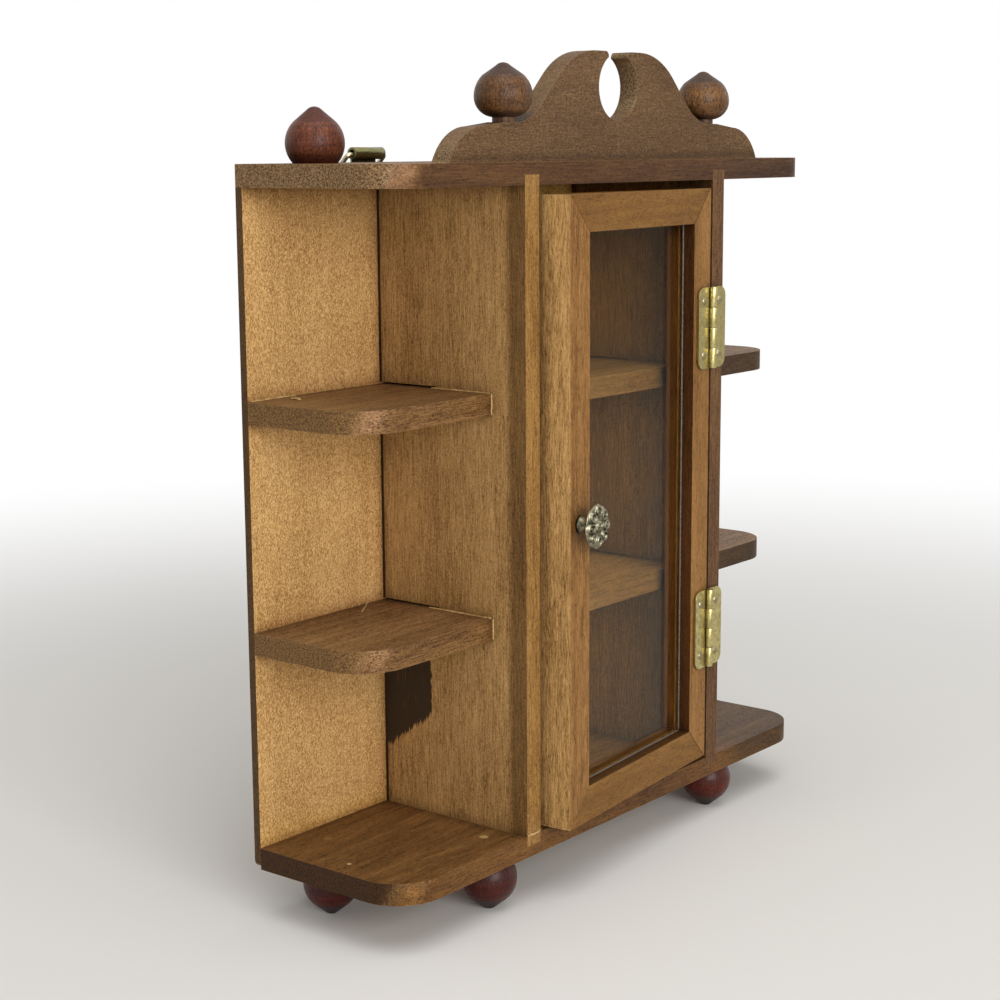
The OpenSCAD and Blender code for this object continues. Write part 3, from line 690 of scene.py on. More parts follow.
@dataclass(frozen=True)
class PaneGlass:
    """A thin pane, wiped but not clean."""

    title: str
    tint: Rgb = (255, 254, 228)
    shadow: Point = (0.99, 0.99, 0.95)
    bend: float = 1.16
    clean: float = 0.0
    dusty: float = 0.03
    haze_full: float = 1.4
    wave_mm: float = 0.02

    def build(self, effects: Effects) -> bpy.types.Material:
        """Makes the material, which lets light straight through to what stands behind it.

        Args:
            effects: The shared node groups.

        Returns:
            The new material.
        """
        material, g, shader = blank_material(self.title)
        place, _ = g.here()
        marks = effects.place(g, effects.smudge, Place=place)
        shader.inputs["Base Color"].default_value = linear(self.tint)
        shader.inputs["Transmission Weight"].default_value = 1.0
        shader.inputs["IOR"].default_value = self.bend
        rough = g.span(marks["Haze"], 0.0, self.haze_full, self.clean, self.dusty, smooth=False)
        g.feed(shader.inputs["Roughness"], rough)
        g.bump(shader, marks["Wave"], self.wave_mm)
        through = g.node("ShaderNodeBsdfTransparent")
        through.inputs[0].default_value = (*self.shadow, 1.0)
        g.mix_out(g.node("ShaderNodeLightPath").outputs["Is Shadow Ray"], shader, through)
        return material


@dataclass(frozen=True)
class HardGlue:
    """Dried glue, pale and waxy."""

    title: str
    pale: Rgb = (226, 204, 158)
    dark: Rgb = (176, 138, 86)
    relief_mm: float = 0.1

    def build(self, effects: Effects) -> bpy.types.Material:
        """Makes the material.

        Args:
            effects: The shared node groups.

        Returns:
            The new material.
        """
        material, g, shader = blank_material(self.title)
        place, _ = g.here()
        lumps = g.cloud(place, 1.3, 3, 0.7)
        colour = g.blend(g.span(lumps, 0.35, 0.65), linear(self.dark), linear(self.pale))
        g.feed(shader.inputs["Base Color"], colour)
        g.feed(shader.inputs["Roughness"], g.span(lumps, 0.3, 0.7, 0.35, 0.6))
        g.bump(shader, lumps, self.relief_mm)
        return material


def blank_material(title: str) -> tuple[bpy.types.Material, Graph, bpy.types.Node]:
    """Starts a material with one Principled shader on its output.

    Args:
        title: The material's name.

    Returns:
        The material, its graph, and the shader node.
    """
    material = bpy.data.materials.new(title)
    material.use_nodes = True
    material.node_tree.nodes.clear()
    g = Graph(material.node_tree)
    shader = g.node("ShaderNodeBsdfPrincipled")
    end = g.node("ShaderNodeOutputMaterial")
    g.feed(end.inputs["Surface"], shader.outputs[0])
    return material, g, shader


def dress(name: str, material: bpy.types.Material) -> bpy.types.Object:
    """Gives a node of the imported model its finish.

    Args:
        name: The node.
        material: Its finish.

    Returns:
        The node's object.
    """
    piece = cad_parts[name]
    piece.data.materials.clear()
    piece.data.materials.append(material)
    LOG.info("%s is dressed in %s", name, material.name)
    return piece


def soften(piece: bpy.types.Object, width_mm: float, steps: int = 2, angle: float = 32.0) -> None:
    """Takes the sharpness off a piece's arrises.

    Args:
        piece: The piece.
        width_mm: Width of the rounding.
        steps: Facets across it.
        angle: Edges that turn by more than this many degrees are rounded.
    """
    weld = piece.modifiers.new("joined", "WELD")
    weld.merge_threshold = WELD_M
    flat = piece.modifiers.new("flat_faces", "DECIMATE")
    flat.decimate_type = "DISSOLVE"
    flat.angle_limit = math.radians(FLAT_DEG)
    bevel = piece.modifiers.new("soft_arris", "BEVEL")
    bevel.width = width_mm * MM
    bevel.segments = steps
    bevel.limit_method = "ANGLE"
    bevel.angle_limit = math.radians(angle)
    bevel.harden_normals = True
    bevel.use_clamp_overlap = True


def mesh_piece(name: str, body: str, material: bpy.types.Material,
               shape: bmesh.types.BMesh, smooth: bool = True) -> bpy.types.Object:
    """Turns a shape into a piece that rides on a body.

    Args:
        name: The piece's name.
        body: The body that carries it.
        material: Its finish.
        shape: Its mesh, which is used up.
        smooth: Whether it is shaded smooth.

    Returns:
        The new object.
    """
    data = bpy.data.meshes.new(name)
    shape.to_mesh(data)
    shape.free()
    data.materials.append(material)
    for face in data.polygons:
        face.use_smooth = smooth
    piece = bpy.data.objects.new(name, data)
    bpy.context.scene.collection.objects.link(piece)
    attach(piece, body)
    LOG.info("%s is built on %s", name, body)
    return piece


def strand(path: Sequence[Point], radius_mm: float, lumps: float, seed: float,
           sides: int = 8) -> bmesh.types.BMesh:
    """Builds a lumpy closed string along a path.

    Args:
        path: Its points in millimetres.
        radius_mm: Its mean radius.
        lumps: How much the radius swells and shrinks, as a share of it.
        seed: Picks the pattern of lumps.
        sides: Corners of its section.

    Returns:
        The mesh, in metres.
    """
    shape = bmesh.new()
    points = [Vector(p) for p in path]
    stops: list[Vector] = []
    for start, end in zip(points, points[1:]):
        steps = max(2, round((end - start).length / STRAND_STEP_MM))
        stops += [start.lerp(end, i / steps) for i in range(steps)]
    stops.append(points[-1])
    rings = []
    for i, stop in enumerate(stops):
        ahead = (stops[min(i + 1, len(stops) - 1)] - stops[max(i - 1, 0)]).normalized()
        across = ahead.cross(Vector(OFF_AXIS)).normalized()
        over = ahead.cross(across)
        ends = STRAND_END if i in (0, len(stops) - 1) else 1.0
        ring = []
        for k in range(sides):
            turn = math.tau * k / sides
            swell = 1 + lumps * noise.noise(Vector((stop.length * 0.9 + seed, k * 0.35, seed)))
            side = across * math.cos(turn) + over * math.sin(turn)
            ring.append(shape.verts.new((stop + side * (radius_mm * swell * ends)) * MM))
        rings.append(ring)
    for low, high in zip(rings, rings[1:]):
        for k in range(sides):
            shape.faces.new((low[k], low[(k + 1) % sides], high[(k + 1) % sides], high[k]))
    shape.faces.new(list(reversed(rings[0])))
    shape.faces.new(rings[-1])
    bmesh.ops.recalc_face_normals(shape, faces=shape.faces[:])
    return shape


@dataclass
class Carcass:
    """Boards, uprights, shelves and back panel."""

    top: StainedWood = StainedWood(
        "top_board_wood", deep=(58, 36, 18), middle=(112, 78, 46), pale=(150, 112, 72), end=(158, 126, 86),
        run=Run.WIDTH, figure=0.8, fibre=1.2, pores=0.2, mottle=0.9, tones=(
            # Painted shade on the front edge, painted sheen on both rounded front corners, and painted shade
            # toward the right end.
            Tone((0.42, 0.36, 0.3), FRONT, (0.9, 0.99)),
            Tone((1.36, 1.44, 1.7), CORNER_LEFT, (0.94, 0.99)),
            Tone((1.36, 1.44, 1.7), CORNER_RIGHT, (0.94, 0.99)),
            Tone((0.75, 0.76, 0.8), axis=RIGHT, band_mm=(46.0, 60.0))))
    bottom: StainedWood = StainedWood(
        "bottom_board_wood", deep=(56, 34, 16), middle=(112, 77, 40), pale=(150, 110, 66), end=(120, 88, 50),
        run=Run.WIDTH, figure=1.0, fibre=1.1, pores=0.25, mottle=0.9, shift=21.0, tones=(
            # Painted shade on the front edge and toward the right end, and a painted highlight on the rounded
            # left corner.
            Tone((0.72, 0.64, 0.42), FRONT, (0.9, 0.99)),
            Tone((1.15, 1.1, 0.9), CORNER_LEFT, (0.9, 0.98)),
            Tone((0.34, 0.26, 0.15), LEFT, (0.8, 0.95)),
            Tone((0.55, 0.58, 0.62), axis=RIGHT, band_mm=(52.0, 70.0))))
    uprights: StainedWood = StainedWood(
        "divider_wood", deep=(104, 73, 40), middle=(160, 122, 74), pale=(196, 158, 102), end=(196, 156, 92),
        run=Run.UPRIGHT, figure=0.5, fibre=1.3, pores=0.22, mottle=1.5)
    shelves: StainedWood = StainedWood(
        "shelf_wood", deep=(72, 46, 24), middle=(124, 90, 54), pale=(160, 124, 82), end=(140, 106, 62),
        run=Run.WIDTH, figure=0.9, fibre=1.5, pores=0.3, mottle=1.6)
    panel: StainedWood = StainedWood(
        "panel_wood", deep=(144, 104, 56), middle=(194, 150, 92), pale=(226, 186, 126), end=(120, 88, 52),
        run=Run.UPRIGHT, figure=0.3, fibre=0.6, pores=0.2, mottle=3.0, wear=0.0, nook_shade=0.7, tones=(
            Tone((0.14, 0.12, 0.1), LEFT, (0.6, 0.8)), Tone((0.14, 0.12, 0.1), RIGHT, (0.6, 0.8)),
            Tone((0.5, 0.46, 0.4), BACK, (0.6, 0.8))))
    arris_mm: float = 0.35
    panel_arris_mm: float = 0.2
    spilt: SpiltStain = SpiltStain()
    marks: tuple[Spot, ...] = (
        Spot((-85.4, 16.4, 20.7), (1.3, 1.3, 0.5), (136, 104, 58)),
        Spot((-57.2, -18.0, 20.7), (1.3, 1.3, 0.5), (180, 150, 98)),
        Spot((-96.6, -2.2, 20.7), (0.6, 0.6, 0.5), (206, 180, 130)))
    pins: Brass = Brass("pin_steel", (170, 168, 160), (120, 116, 108), (60, 54, 48), 0.5)

    def build(self, effects: Effects) -> None:
        """Dresses the case's own timber.

        Args:
            effects: The shared node groups.
        """
        soften(dress("top_board", self.top.build(effects)), self.arris_mm)
        soften(dress("bottom_board", replace(self.bottom, spots=self.marks).build(effects)), self.arris_mm)
        self._uprights(effects)
        self._shelves(effects)
        self._panel(effects)
        dress("panel_pins", self.pins.build(effects))

    def _uprights(self, effects: Effects) -> None:
        """Dresses the dividers; the left one has the spilt stain, a dark strip and a dark seam at the panel.

        Args:
            effects: The shared node groups.
        """
        strip = Tone((0.46, 0.42, 0.36), LEFT, (0.9, 0.98), FRONT, (20.6, 23.6), 0.8)
        golden = Tone((0.8, 0.74, 0.58), FRONT, (0.8, 0.95))
        seam = Tone((0.1, 0.08, 0.07), LEFT, (0.9, 0.98), BACK, (24.5, 24.9), 0.3)
        left = replace(self.uprights, title="left_divider_wood", spilt=self.spilt, tones=(strip, golden, seam))
        # The right divider is a darker copy of the left one's wood: painted shade toward the right of the
        # case.
        right = replace(self.uprights, title="right_divider_wood", deep=(48, 28, 14), middle=(92, 62, 34),
                        pale=(126, 90, 54), shift=7.0)
        soften(dress("left_divider", left.build(effects)), self.arris_mm)
        soften(dress("right_divider", right.build(effects)), self.arris_mm)

    def _shelves(self, effects: Effects) -> None:
        """Dresses the shelves, with painted shade on their front edges, deeper in the closed part and at the
        far end, and a painted sheen on the rounded left corner.

        Args:
            effects: The shared node groups.
        """
        # Painted shade on the front edges, deeper inside the glazed bay and at the far right end, and a
        # painted sheen on the rounded left corner.
        front = Tone((0.76, 0.7, 0.6), FRONT, (0.9, 0.99))
        painted_sheen = Tone((1.35, 1.36, 1.5), CORNER_LEFT, (0.94, 0.99))
        painted_shade_shut_in = Tone((0.62, 0.6, 0.6), FRONT, (0.5, 0.8), RIGHT, (-50.0, -46.0))
        far = Tone((0.5, 0.54, 0.6), FRONT, (0.5, 0.8), RIGHT, (46.0, 54.0))
        for name, shift in (("upper_shelf", 0.0), ("lower_shelf", 11.0)):
            wood = replace(self.shelves, title=f"{name}_wood", shift=shift, tones=(front, painted_sheen, painted_shade_shut_in, far))
            soften(dress(name, wood.build(effects)), self.arris_mm)

    def _panel(self, effects: Effects) -> None:
        """Dresses the back panel, with painted bounce light over the bottom board, painted shadow under the
        top board and painted light behind the glass.

        Args:
            effects: The shared node groups.
        """
        # Painted bounce light over the bottom board, painted shadow under the top board, and painted light
        # behind the glass.
        painted_bounce_light = Tone((1.08, 1.08, 0.92), FRONT, axis=DOWN, band_mm=(-29.7, -20.7), ragged_mm=2.0)
        painted_shadow_under_top = Tone((0.8, 0.77, 0.72), axis=UP, band_mm=(194.0, 205.0), ragged_mm=3.0)
        painted_light_behind_glass = Tone((1.2, 1.28, 1.08), FRONT, axis=RIGHT, band_mm=(-47.0, -45.0))
        panel = replace(self.panel, tones=(*self.panel.tones, painted_bounce_light, painted_shadow_under_top, painted_light_behind_glass))
        soften(dress("back_panel", panel.build(effects)), self.panel_arris_mm)


@dataclass
class Crest:
    """Pediment, its dowels and its two finials."""

    board: StainedWood = StainedWood(
        "crest_wood", deep=(58, 38, 22), middle=(92, 67, 42), pale=(132, 102, 70), end=(132, 106, 74),
        run=Run.WIDTH, figure=0.3, fibre=0.6, pores=0.15, mottle=1.7, gloss=(0.5, 0.75), rubbed=(170, 134, 94),
        # Painted light on the faces that look up and to the left, and a painted highlight along the pediment's
        # lower edge.
        tones=(Tone((1.25, 1.3, 1.36), UP, (0.15, 0.5)), Tone((1.2, 1.26, 1.3), LEFT, (0.35, 0.7)),
               Tone((1.4, 1.4, 1.4), axis=DOWN, band_mm=(-211.5, -210.9), ragged_mm=0.6)))
    finial: StainedWood = StainedWood(
        "finial_wood", deep=(44, 26, 14), middle=(96, 63, 34), pale=(146, 104, 58), end=(84, 56, 32),
        run=Run.UPRIGHT, figure=0.6, fibre=0.9, pores=0.4, mottle=1.4, gloss=(0.36, 0.5), sheen_level=0.22,
        coat=0.06, turned=True, wear=0.0)
    dowel: StainedWood = StainedWood(
        "plain_wood", deep=(150, 116, 72), middle=(196, 160, 110), pale=(222, 190, 140), end=(200, 166, 116),
        run=Run.UPRIGHT)
    chip: Spot = Spot((-42.6, -22.5, 231.5), (1.6, 1.6, 2.0), (176, 120, 84))
    arris_mm: float = 0.3

    def build(self, effects: Effects) -> None:
        """Dresses the pediment's pieces.

        Args:
            effects: The shared node groups.
        """
        soften(dress("pediment", self.board.build(effects)), self.arris_mm)
        for side, shift, spots in (("left", 0.0, (self.chip,)), ("right", 5.0, ())):
            wood = replace(self.finial, title=f"{side}_finial_wood", shift=shift, spots=spots).build(effects)
            dress(f"pediment_finial_{side}", wood)
        dress("pediment_dowels", self.dowel.build(effects))


@dataclass
class TurnedBalls:
    """Feet and wing balls, turned and finished with a red-brown gloss."""

    gloss_wood: StainedWood = StainedWood(
        "ball_wood", deep=(52, 20, 12), middle=(104, 54, 34), pale=(138, 84, 52), end=(96, 44, 26),
        run=Run.UPRIGHT, figure=0.5, fibre=1.0, pores=0.4, mottle=1.4, gloss=(0.34, 0.5), sheen_level=0.2,
        coat=0.05, turned=True, wear=0.0)

    def build(self, effects: Effects) -> None:
        """Dresses the six balls.

        Args:
            effects: The shared node groups.
        """
        wing = self.gloss_wood.build(effects)
        feet = replace(self.gloss_wood, title="foot_wood", deep=(34, 8, 5), middle=(74, 22, 12),
                       pale=(100, 42, 24), end=(58, 18, 11), coat=0.15).build(effects)
        for name in ("wing_ball_left", "wing_ball_right"):
            dress(name, wing)
        for name in ("front_foot_left", "front_foot_right", "rear_foot_left", "rear_foot_right"):
            dress(name, feet)


@dataclass
class GlazedDoor:
    """Mitred frame, its pane, and the dried glue that holds the pane."""

    stile: StainedWood = StainedWood(
        "door_wood", deep=(84, 52, 24), middle=(134, 94, 48), pale=(168, 124, 70), end=(160, 120, 70),
        run=Run.UPRIGHT, figure=0.8, fibre=1.1, pores=0.25, mottle=0.8, wave=1.2, gloss=(0.4, 0.6),
        sheen_level=0.1)
    pane: PaneGlass = PaneGlass("pane_glass")
    glue: HardGlue = HardGlue("pane_glue", pale=(120, 108, 100), dark=(72, 58, 48))
    hinge_mm: tuple[float, float] = (42.4, -29.5)
    turn_deg: float = 5.8
    pane_left_mm: float = -30.5
    pane_right_mm: float = 32.3
    pane_front_mm: float = -24.1
    pane_low_mm: float = 32.3
    pane_high_mm: float = 191.2
    bead_mm: float = 0.32
    bead_proud_mm: float = 0.1
    arris_mm: float = 0.35

    def build(self, effects: Effects) -> None:
        """Dresses the door.

        Args:
            effects: The shared node groups.
        """
        rail = replace(self.stile, deep=(78, 50, 22), middle=(120, 83, 38), pale=(148, 108, 56),
                       run=Run.ACROSS_DOOR, fibre=0.7, mottle=0.6, wave=5.0, figure=1.0)
        # Painted shade on the frame's inner faces: the hinge stile's inner side, the top rail's underside and
        # the bottom rail's top.
        inner = (0.3, 0.24, 0.24)
        side = Tone((1.62, 1.94, 2.5), DOOR_LEFT, (0.8, 0.95))
        pieces = (
            ("door_hinge_stile", replace(self.stile, shift=3.0, tones=(Tone(inner, DOOR_LEFT),))),
            ("door_closing_stile", replace(self.stile, shift=9.0, figure=1.1, fibre=1.6, wave=2.0,
                                           tones=(side,))),
            ("door_top_rail", replace(rail, shift=5.0, tones=(Tone(inner, DOWN),))),
            ("door_bottom_rail", replace(rail, shift=8.0, tones=(Tone((0.42, 0.36, 0.34), UP),))))
        for name, wood in pieces:
            soften(dress(name, replace(wood, title=f"{name}_wood").build(effects)), self.arris_mm)
        dress("door_glass", self.pane.build(effects))
        self._pane_bead(self.glue.build(effects))

    def _pane_bead(self, glue: bpy.types.Material) -> None:
        """Runs a thin bead of glue round the pane, where it meets the frame.

        Args:
            glue: The bead's finish.
        """
        y = self.pane_front_mm - self.bead_proud_mm
        loop = [(self.pane_left_mm, y, self.pane_low_mm), (self.pane_right_mm, y, self.pane_low_mm),
                (self.pane_right_mm, y, self.pane_high_mm), (self.pane_left_mm, y, self.pane_high_mm),
                (self.pane_left_mm, y, self.pane_low_mm)]
        bead = strand([self._ajar(point) for point in loop], self.bead_mm, 0.35, 2.0, 6)
        mesh_piece("pane_glue_bead", "door", glue, bead)

    def _ajar(self, point: Point) -> Point:
        """Turns a point on the closed door to where the door stands ajar.

        Args:
            point: A point of the closed door, in millimetres.

        Returns:
            The point on the door as the record holds it at rest.
        """
        a = math.radians(self.turn_deg)
        x, y = point[0] - self.hinge_mm[0], point[1] - self.hinge_mm[1]
        return (self.hinge_mm[0] + x * math.cos(a) - y * math.sin(a),
                self.hinge_mm[1] + x * math.sin(a) + y * math.cos(a), point[2])


@dataclass
class Knob:
    """Cast rosette knob and its screw."""

    metal: Brass = Brass("knob_brass", (196, 190, 160), (60, 56, 40), (13, 12, 9), 1.0, reach_mm=2.4)
    foot_mm: Point = (-35.54, -36.01, 110.2)
    screw: Brass = Brass("screw_steel", (176, 172, 160), (130, 126, 116), (60, 56, 50), 0.4)
    radius_mm: float = 6.4
    face_mm: float = 5.95
    petals: int = 8
    petal_ring_mm: float = 4.2
    petal_mm: tuple[float, float] = (1.7, 1.42)
    boss_mm: float = 1.6
    dome_mm: float = 0.5
    petal_rim: Point = (0.85, 0.78, 0.2)
    petal_heart: Point = (0.55, 0.0, 0.3)
    boss_rim: Point = (0.75, 0.8, 0.25)
    boss_heart: Point = (0.6, 0.0, 0.35)
    scallop_mm: float = 0.22
    under_mm: float = 0.1
    rounds: int = 34
    steps: int = 176
    stem_mm: tuple[tuple[float, float], ...] = (
        (6.0, 5.1), (5.6, 4.85), (3.6, 4.55), (2.7, 4.1), (2.2, 3.4), (2.05, 2.5), (2.2, 1.5), (2.5, 0.6),
        (2.6, 0.0))

    def build(self, effects: Effects) -> None:
        """Casts the rosette, and dresses it and its screw.

        Args:
            effects: The shared node groups.
        """
        metal = self.metal.build(effects)
        dress("door_knob", metal)
        rosette = mesh_piece("knob_rosette", "door", metal, self._rosette())
        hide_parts("door_knob")
        dress("door_knob_screw", self.screw.build(effects))

    def _height(self, out: float, turn: float) -> float:
        """Height of the cast face over the door.

        Args:
            out: Distance from the middle.
            turn: Angle round the knob's axis.

        Returns:
            The height in millimetres.
        """
        pitch = math.tau / self.petals
        off = (turn + pitch / 2) % pitch - pitch / 2
        u = (out * math.cos(off) - self.petal_ring_mm) / self.petal_mm[0]
        v = out * math.sin(off) / self.petal_mm[1]
        away = math.hypot(u, v)
        inner = out / self.boss_mm
        height = self.face_mm - self.dome_mm * (out / self.radius_mm) ** 3
        height += self._ridge(away, self.petal_rim)
        height += self._ridge(away, self.petal_heart)
        height += self._ridge(inner, self.boss_rim) * (0.8 + 0.2 * math.cos(5 * turn))
        return height + self._ridge(inner, self.boss_heart)

    @staticmethod
    def _ridge(away: float, shape: Point) -> float:
        """A rounded ridge, given by its height in millimetres, where it stands and its width."""
        tall, at, wide = shape
        return tall * math.exp(-((away - at) / wide) ** 2)

    def _rosette(self) -> bmesh.types.BMesh:
        """Models the face ring by ring, then the rim, the back and the flared stem.

        Returns:
            The mesh, in metres.
        """
        outward = Vector(DOOR_FRONT)
        level = Vector((-outward.y, outward.x, 0.0))
        base = Vector(self.foot_mm)
        shape = bmesh.new()

        def vertex(out: float, turn: float, height: float) -> bmesh.types.BMVert:
            """A point given round the knob's axis."""
            across = level * (out * math.cos(turn)) + Vector((0, 0, out * math.sin(turn)))
            return shape.verts.new((base + outward * height + across) * MM)

        def edge(turn: float) -> float:
            """Radius of the scalloped rim."""
            return self.radius_mm - self.scallop_mm + self.scallop_mm * math.cos(self.petals * turn)

        turns = [math.tau * k / self.steps for k in range(self.steps)]
        middle = vertex(0.0, 0.0, self._height(0.0, 0.0))
        rings = []
        for j in range(1, self.rounds + 1):
            outs = [edge(t) * j / self.rounds for t in turns]
            rings.append([vertex(out, t, self._height(out, t)) for out, t in zip(outs, turns)])
        rings += [[vertex(min(out, edge(t) - self.under_mm), t, height) for t in turns]
                  for out, height in self.stem_mm]
        for k in range(self.steps):
            shape.faces.new((middle, rings[0][k], rings[0][(k + 1) % self.steps]))
        for low, high in zip(rings, rings[1:]):
            for k in range(self.steps):
                shape.faces.new((low[k], high[k], high[(k + 1) % self.steps], low[(k + 1) % self.steps]))
        shape.faces.new(rings[-1])
        bmesh.ops.recalc_face_normals(shape, faces=shape.faces[:])
        return shape


@dataclass
class Hinges:
    """Two butt hinges of polished brass, and their nails."""

    sheet: Brass = Brass("hinge_brass", (214, 200, 138), (142, 128, 78), (44, 36, 18), 0.75)
    barrel: Brass = Brass("hinge_pin_brass", (232, 222, 160), (176, 160, 96), (60, 48, 24), 0.3)
    nail: Brass = Brass("hinge_nail_brass", (176, 166, 130), (120, 108, 78), (50, 42, 26), 0.8)
    arris_mm: float = 0.12

    def build(self, effects: Effects) -> None:
        """Dresses the hinges.

        Args:
            effects: The shared node groups.
        """
        brass, barrel = self.sheet.build(effects), self.barrel.build(effects)
        for level in ("upper", "lower"):
            for part in ("case_leaf", "door_leaf"):
                soften(dress(f"{level}_hinge_{part}", brass), self.arris_mm)
            dress(f"{level}_hinge_pin", barrel)
        nail = self.nail.build(effects)
        for name in ("hinge_case_nails", "hinge_door_nails"):
            dress(name, nail)


@dataclass
class Hangers:
    """Straps, rings and screws at the back."""

    strap: Brass = Brass("hanger_brass", (150, 144, 100), (100, 94, 58), (30, 28, 18), 0.75)
    ring: Brass = Brass("ring_brass", (214, 206, 176), (160, 150, 116), (30, 28, 18), 0.75)
    arris_mm: float = 0.1

    def build(self, effects: Effects) -> None:
        """Dresses the hangers.

        Args:
            effects: The shared node groups.
        """
        brass, bright = self.strap.build(effects), self.ring.build(effects)
        for side in ("left", "right"):
            soften(dress(f"{side}_hanger_strap", brass), self.arris_mm)
            dress(f"{side}_hanger_ring", bright)
        dress("hanger_screws", brass)


@dataclass
class DriedGlue:
    """Beads and threads of glue that were left round the shelves.

    Each bead has its piece name, its radius and the points it runs through, in millimetres.
    """

    glue: HardGlue = HardGlue("dried_glue", pale=(206, 176, 116), dark=(160, 122, 70))
    lumps: float = 0.9
    beads: tuple[tuple[str, float, tuple[Point, ...]], ...] = (
        ("upper_shelf_side_glue", 0.3, ((-50.0, 6.0, 147.1), (-50.0, -15.6, 147.1))),
        ("upper_shelf_end_glue", 0.26, ((-50.0, -16.1, 147.1), (-50.0, -16.1, 141.0))),
        ("lower_shelf_side_glue", 0.3, ((-50.0, 8.0, 82.9), (-50.0, -15.6, 82.9))),
        ("lower_shelf_end_glue", 0.26, ((-50.0, -16.1, 82.9), (-50.0, -16.1, 76.8))),
        ("upper_shelf_back_glue", 0.34, ((-102.0, 25.6, 147.1), (-96.0, 25.5, 147.1), (-84.0, 25.7, 147.1))),
        ("upper_shelf_thread", 0.3, ((-91.8, 20.6, 147.3), (-91.4, 19.0, 147.6), (-91.5, 17.0, 147.3))),
        ("lower_shelf_thread", 0.22, ((-57.5, 25.4, 83.2), (-61.0, 22.6, 83.1), (-66.3, 19.4, 83.0))),
        ("divider_foot_glue", 0.32, ((-49.6, -28.0, 21.0), (-47.0, -28.1, 20.9), (-43.8, -28.0, 21.2))),
    )

    def build(self, effects: Effects) -> None:
        """Lays every bead.

        Args:
            effects: The shared node groups.
        """
        glue = self.glue.build(effects)
        for index, (name, radius, path) in enumerate(self.beads):
            mesh_piece(name, "case", glue, strand(path, radius, self.lumps, 3.0 * index))


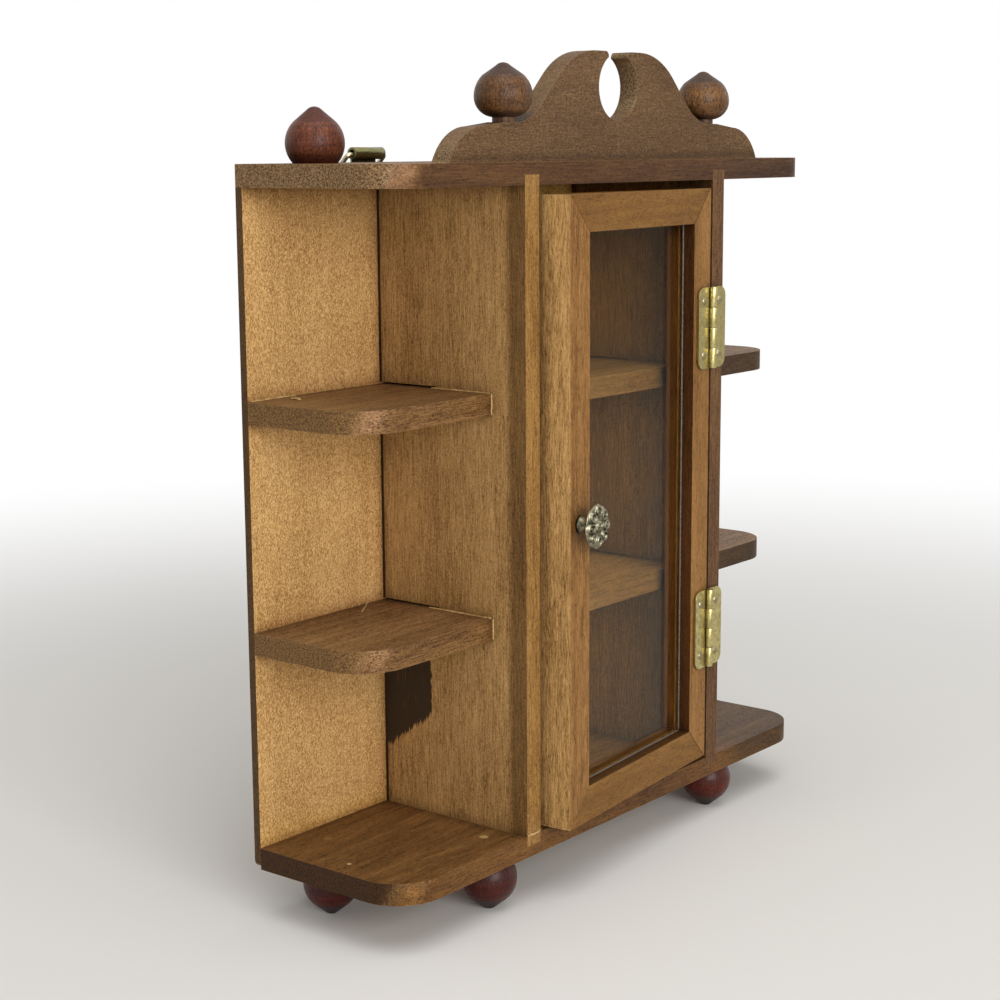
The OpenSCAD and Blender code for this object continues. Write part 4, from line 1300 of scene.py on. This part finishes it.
@dataclass
class Studio:
    """Floor, lamps, backdrop and camera."""

    eye: Point = (-0.47346, -0.35704, 0.21452)
    yaw: float = 51.391
    pitch: float = -10.156
    roll: float = -0.358
    lens_mm: float = 70.96
    floor_colour: Rgb = (240, 238, 234)
    floor_half: float = 6.0
    fade: tuple[float, float] = (0.2, 0.75)
    sky_colour: Point = (1.0, 0.985, 0.96)
    aim: Point = (0.0, 0.0, 0.11)
    ambient: float = 0.33
    window_watts: float = 18.0
    sky_watts: float = 11.0

    def build(self) -> None:
        """Builds the whole setting."""
        self._floor()
        self._world()
        self._lamp("window_lamp", azimuth=63.0, height=16.0, reach=1.7, size=(1.1, 0.9),
                   watts=self.window_watts)
        self._lamp("ceiling_lamp", azimuth=60.0, height=72.0, reach=1.5, size=(1.4, 1.4),
                   watts=self.sky_watts)
        self._camera()

    def _floor(self) -> None:
        """Lays a wide plain floor under the feet."""
        shape = bmesh.new()
        bmesh.ops.create_grid(shape, x_segments=2, y_segments=2, size=self.floor_half)
        data = bpy.data.meshes.new("floor")
        shape.to_mesh(data)
        shape.free()
        data.materials.append(self._floor_finish())
        floor = bpy.data.objects.new("floor", data)
        bpy.context.scene.collection.objects.link(floor)

    def _floor_finish(self) -> bpy.types.Material:
        """A matt floor that fades to the backdrop's white away from the case.

        Returns:
            The new material.
        """
        material, g, shader = blank_material("pale_floor")
        shader.inputs["Base Color"].default_value = linear(self.floor_colour)
        shader.inputs["Roughness"].default_value = 0.8
        shader.inputs["Specular IOR Level"].default_value = 0.1
        flat = g.vector("MULTIPLY", g.node("ShaderNodeTexCoord").outputs["Object"], (1.0, 1.0, 0.0))
        far = g.span(g.vector("LENGTH", flat), *self.fade)
        white = g.node("ShaderNodeEmission")
        seen = g.node("ShaderNodeLightPath").outputs["Is Camera Ray"]
        g.mix_out(g.math("MULTIPLY", far, seen), shader, white)
        return material

    def _world(self) -> None:
        """Gives soft light from all round, and white where the camera, metal or glass sees past the case."""
        world = bpy.data.worlds.new("room")
        bpy.context.scene.world = world
        world.use_nodes = True
        world.node_tree.nodes.clear()
        g = Graph(world.node_tree)
        path = g.node("ShaderNodeLightPath").outputs
        seen = g.math("ADD", path["Is Camera Ray"], path["Is Glossy Ray"])
        seen = g.math("ADD", seen, path["Is Transmission Ray"], clamp=True)
        light = g.node("ShaderNodeBackground")
        light.inputs["Color"].default_value = (*self.sky_colour, 1.0)
        light.inputs["Strength"].default_value = self.ambient
        white = g.node("ShaderNodeBackground")
        white.inputs["Color"].default_value = (1.0, 1.0, 1.0, 1.0)
        white.inputs["Strength"].default_value = 1.0
        g.node("ShaderNodeOutputWorld")
        g.mix_out(seen, light, white)

    def _lamp(self, name: str, azimuth: float, height: float, reach: float,
              size: tuple[float, float], watts: float) -> None:
        """Hangs one soft lamp that faces the case.

        Args:
            name: The lamp's name.
            azimuth: Degrees from the left towards the front.
            height: Degrees above level.
            reach: Distance from the case in metres.
            size: Width and height of the lamp.
            watts: Its power.
        """
        a, h = math.radians(azimuth), math.radians(height)
        away = Vector((-math.cos(a) * math.cos(h), -math.sin(a) * math.cos(h), math.sin(h)))
        data = bpy.data.lights.new(name, "AREA")
        data.shape = "RECTANGLE"
        data.size, data.size_y = size
        data.energy = watts
        lamp = bpy.data.objects.new(name, data)
        lamp.location = Vector(self.aim) + away * reach
        lamp.rotation_euler = away.to_track_quat("Z", "Y").to_euler()
        bpy.context.scene.collection.objects.link(lamp)

    def _camera(self) -> None:
        """Stands the camera where the photograph was taken from."""
        yaw, pitch, roll = (math.radians(v) for v in (self.yaw, self.pitch, self.roll))
        ahead = Vector((math.sin(yaw) * math.cos(pitch), math.cos(yaw) * math.cos(pitch), math.sin(pitch)))
        level = Vector((math.cos(yaw), -math.sin(yaw), 0.0))
        above = level.cross(ahead)
        right = level * math.cos(roll) + above * math.sin(roll)
        up = -level * math.sin(roll) + above * math.cos(roll)
        data = bpy.data.cameras.new("camera")
        data.sensor_fit = "HORIZONTAL"
        data.sensor_width = 36.0
        data.lens = self.lens_mm
        data.clip_start = 0.01
        data.clip_end = 30.0
        camera = bpy.data.objects.new("camera", data)
        turn = Matrix((right, up, -ahead)).transposed().to_4x4()
        camera.matrix_world = Matrix.Translation(Vector(self.eye)) @ turn
        bpy.context.scene.collection.objects.link(camera)
        bpy.context.scene.camera = camera


def main() -> None:
    """Builds every sub-assembly in order and logs each one as it is done."""
    logging.basicConfig(level=logging.INFO, format="%(name)s: %(message)s")
    bpy.context.scene.view_settings.view_transform = "Standard"
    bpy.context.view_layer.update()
    Studio().build()
    effects = Effects()
    for group in (Carcass(), Crest(), TurnedBalls(), GlazedDoor(), Knob(), Hinges(), Hangers(), DriedGlue()):
        group.build(effects)
        LOG.info("%s is done", type(group).__name__)


if __name__ == "__main__":
    main()
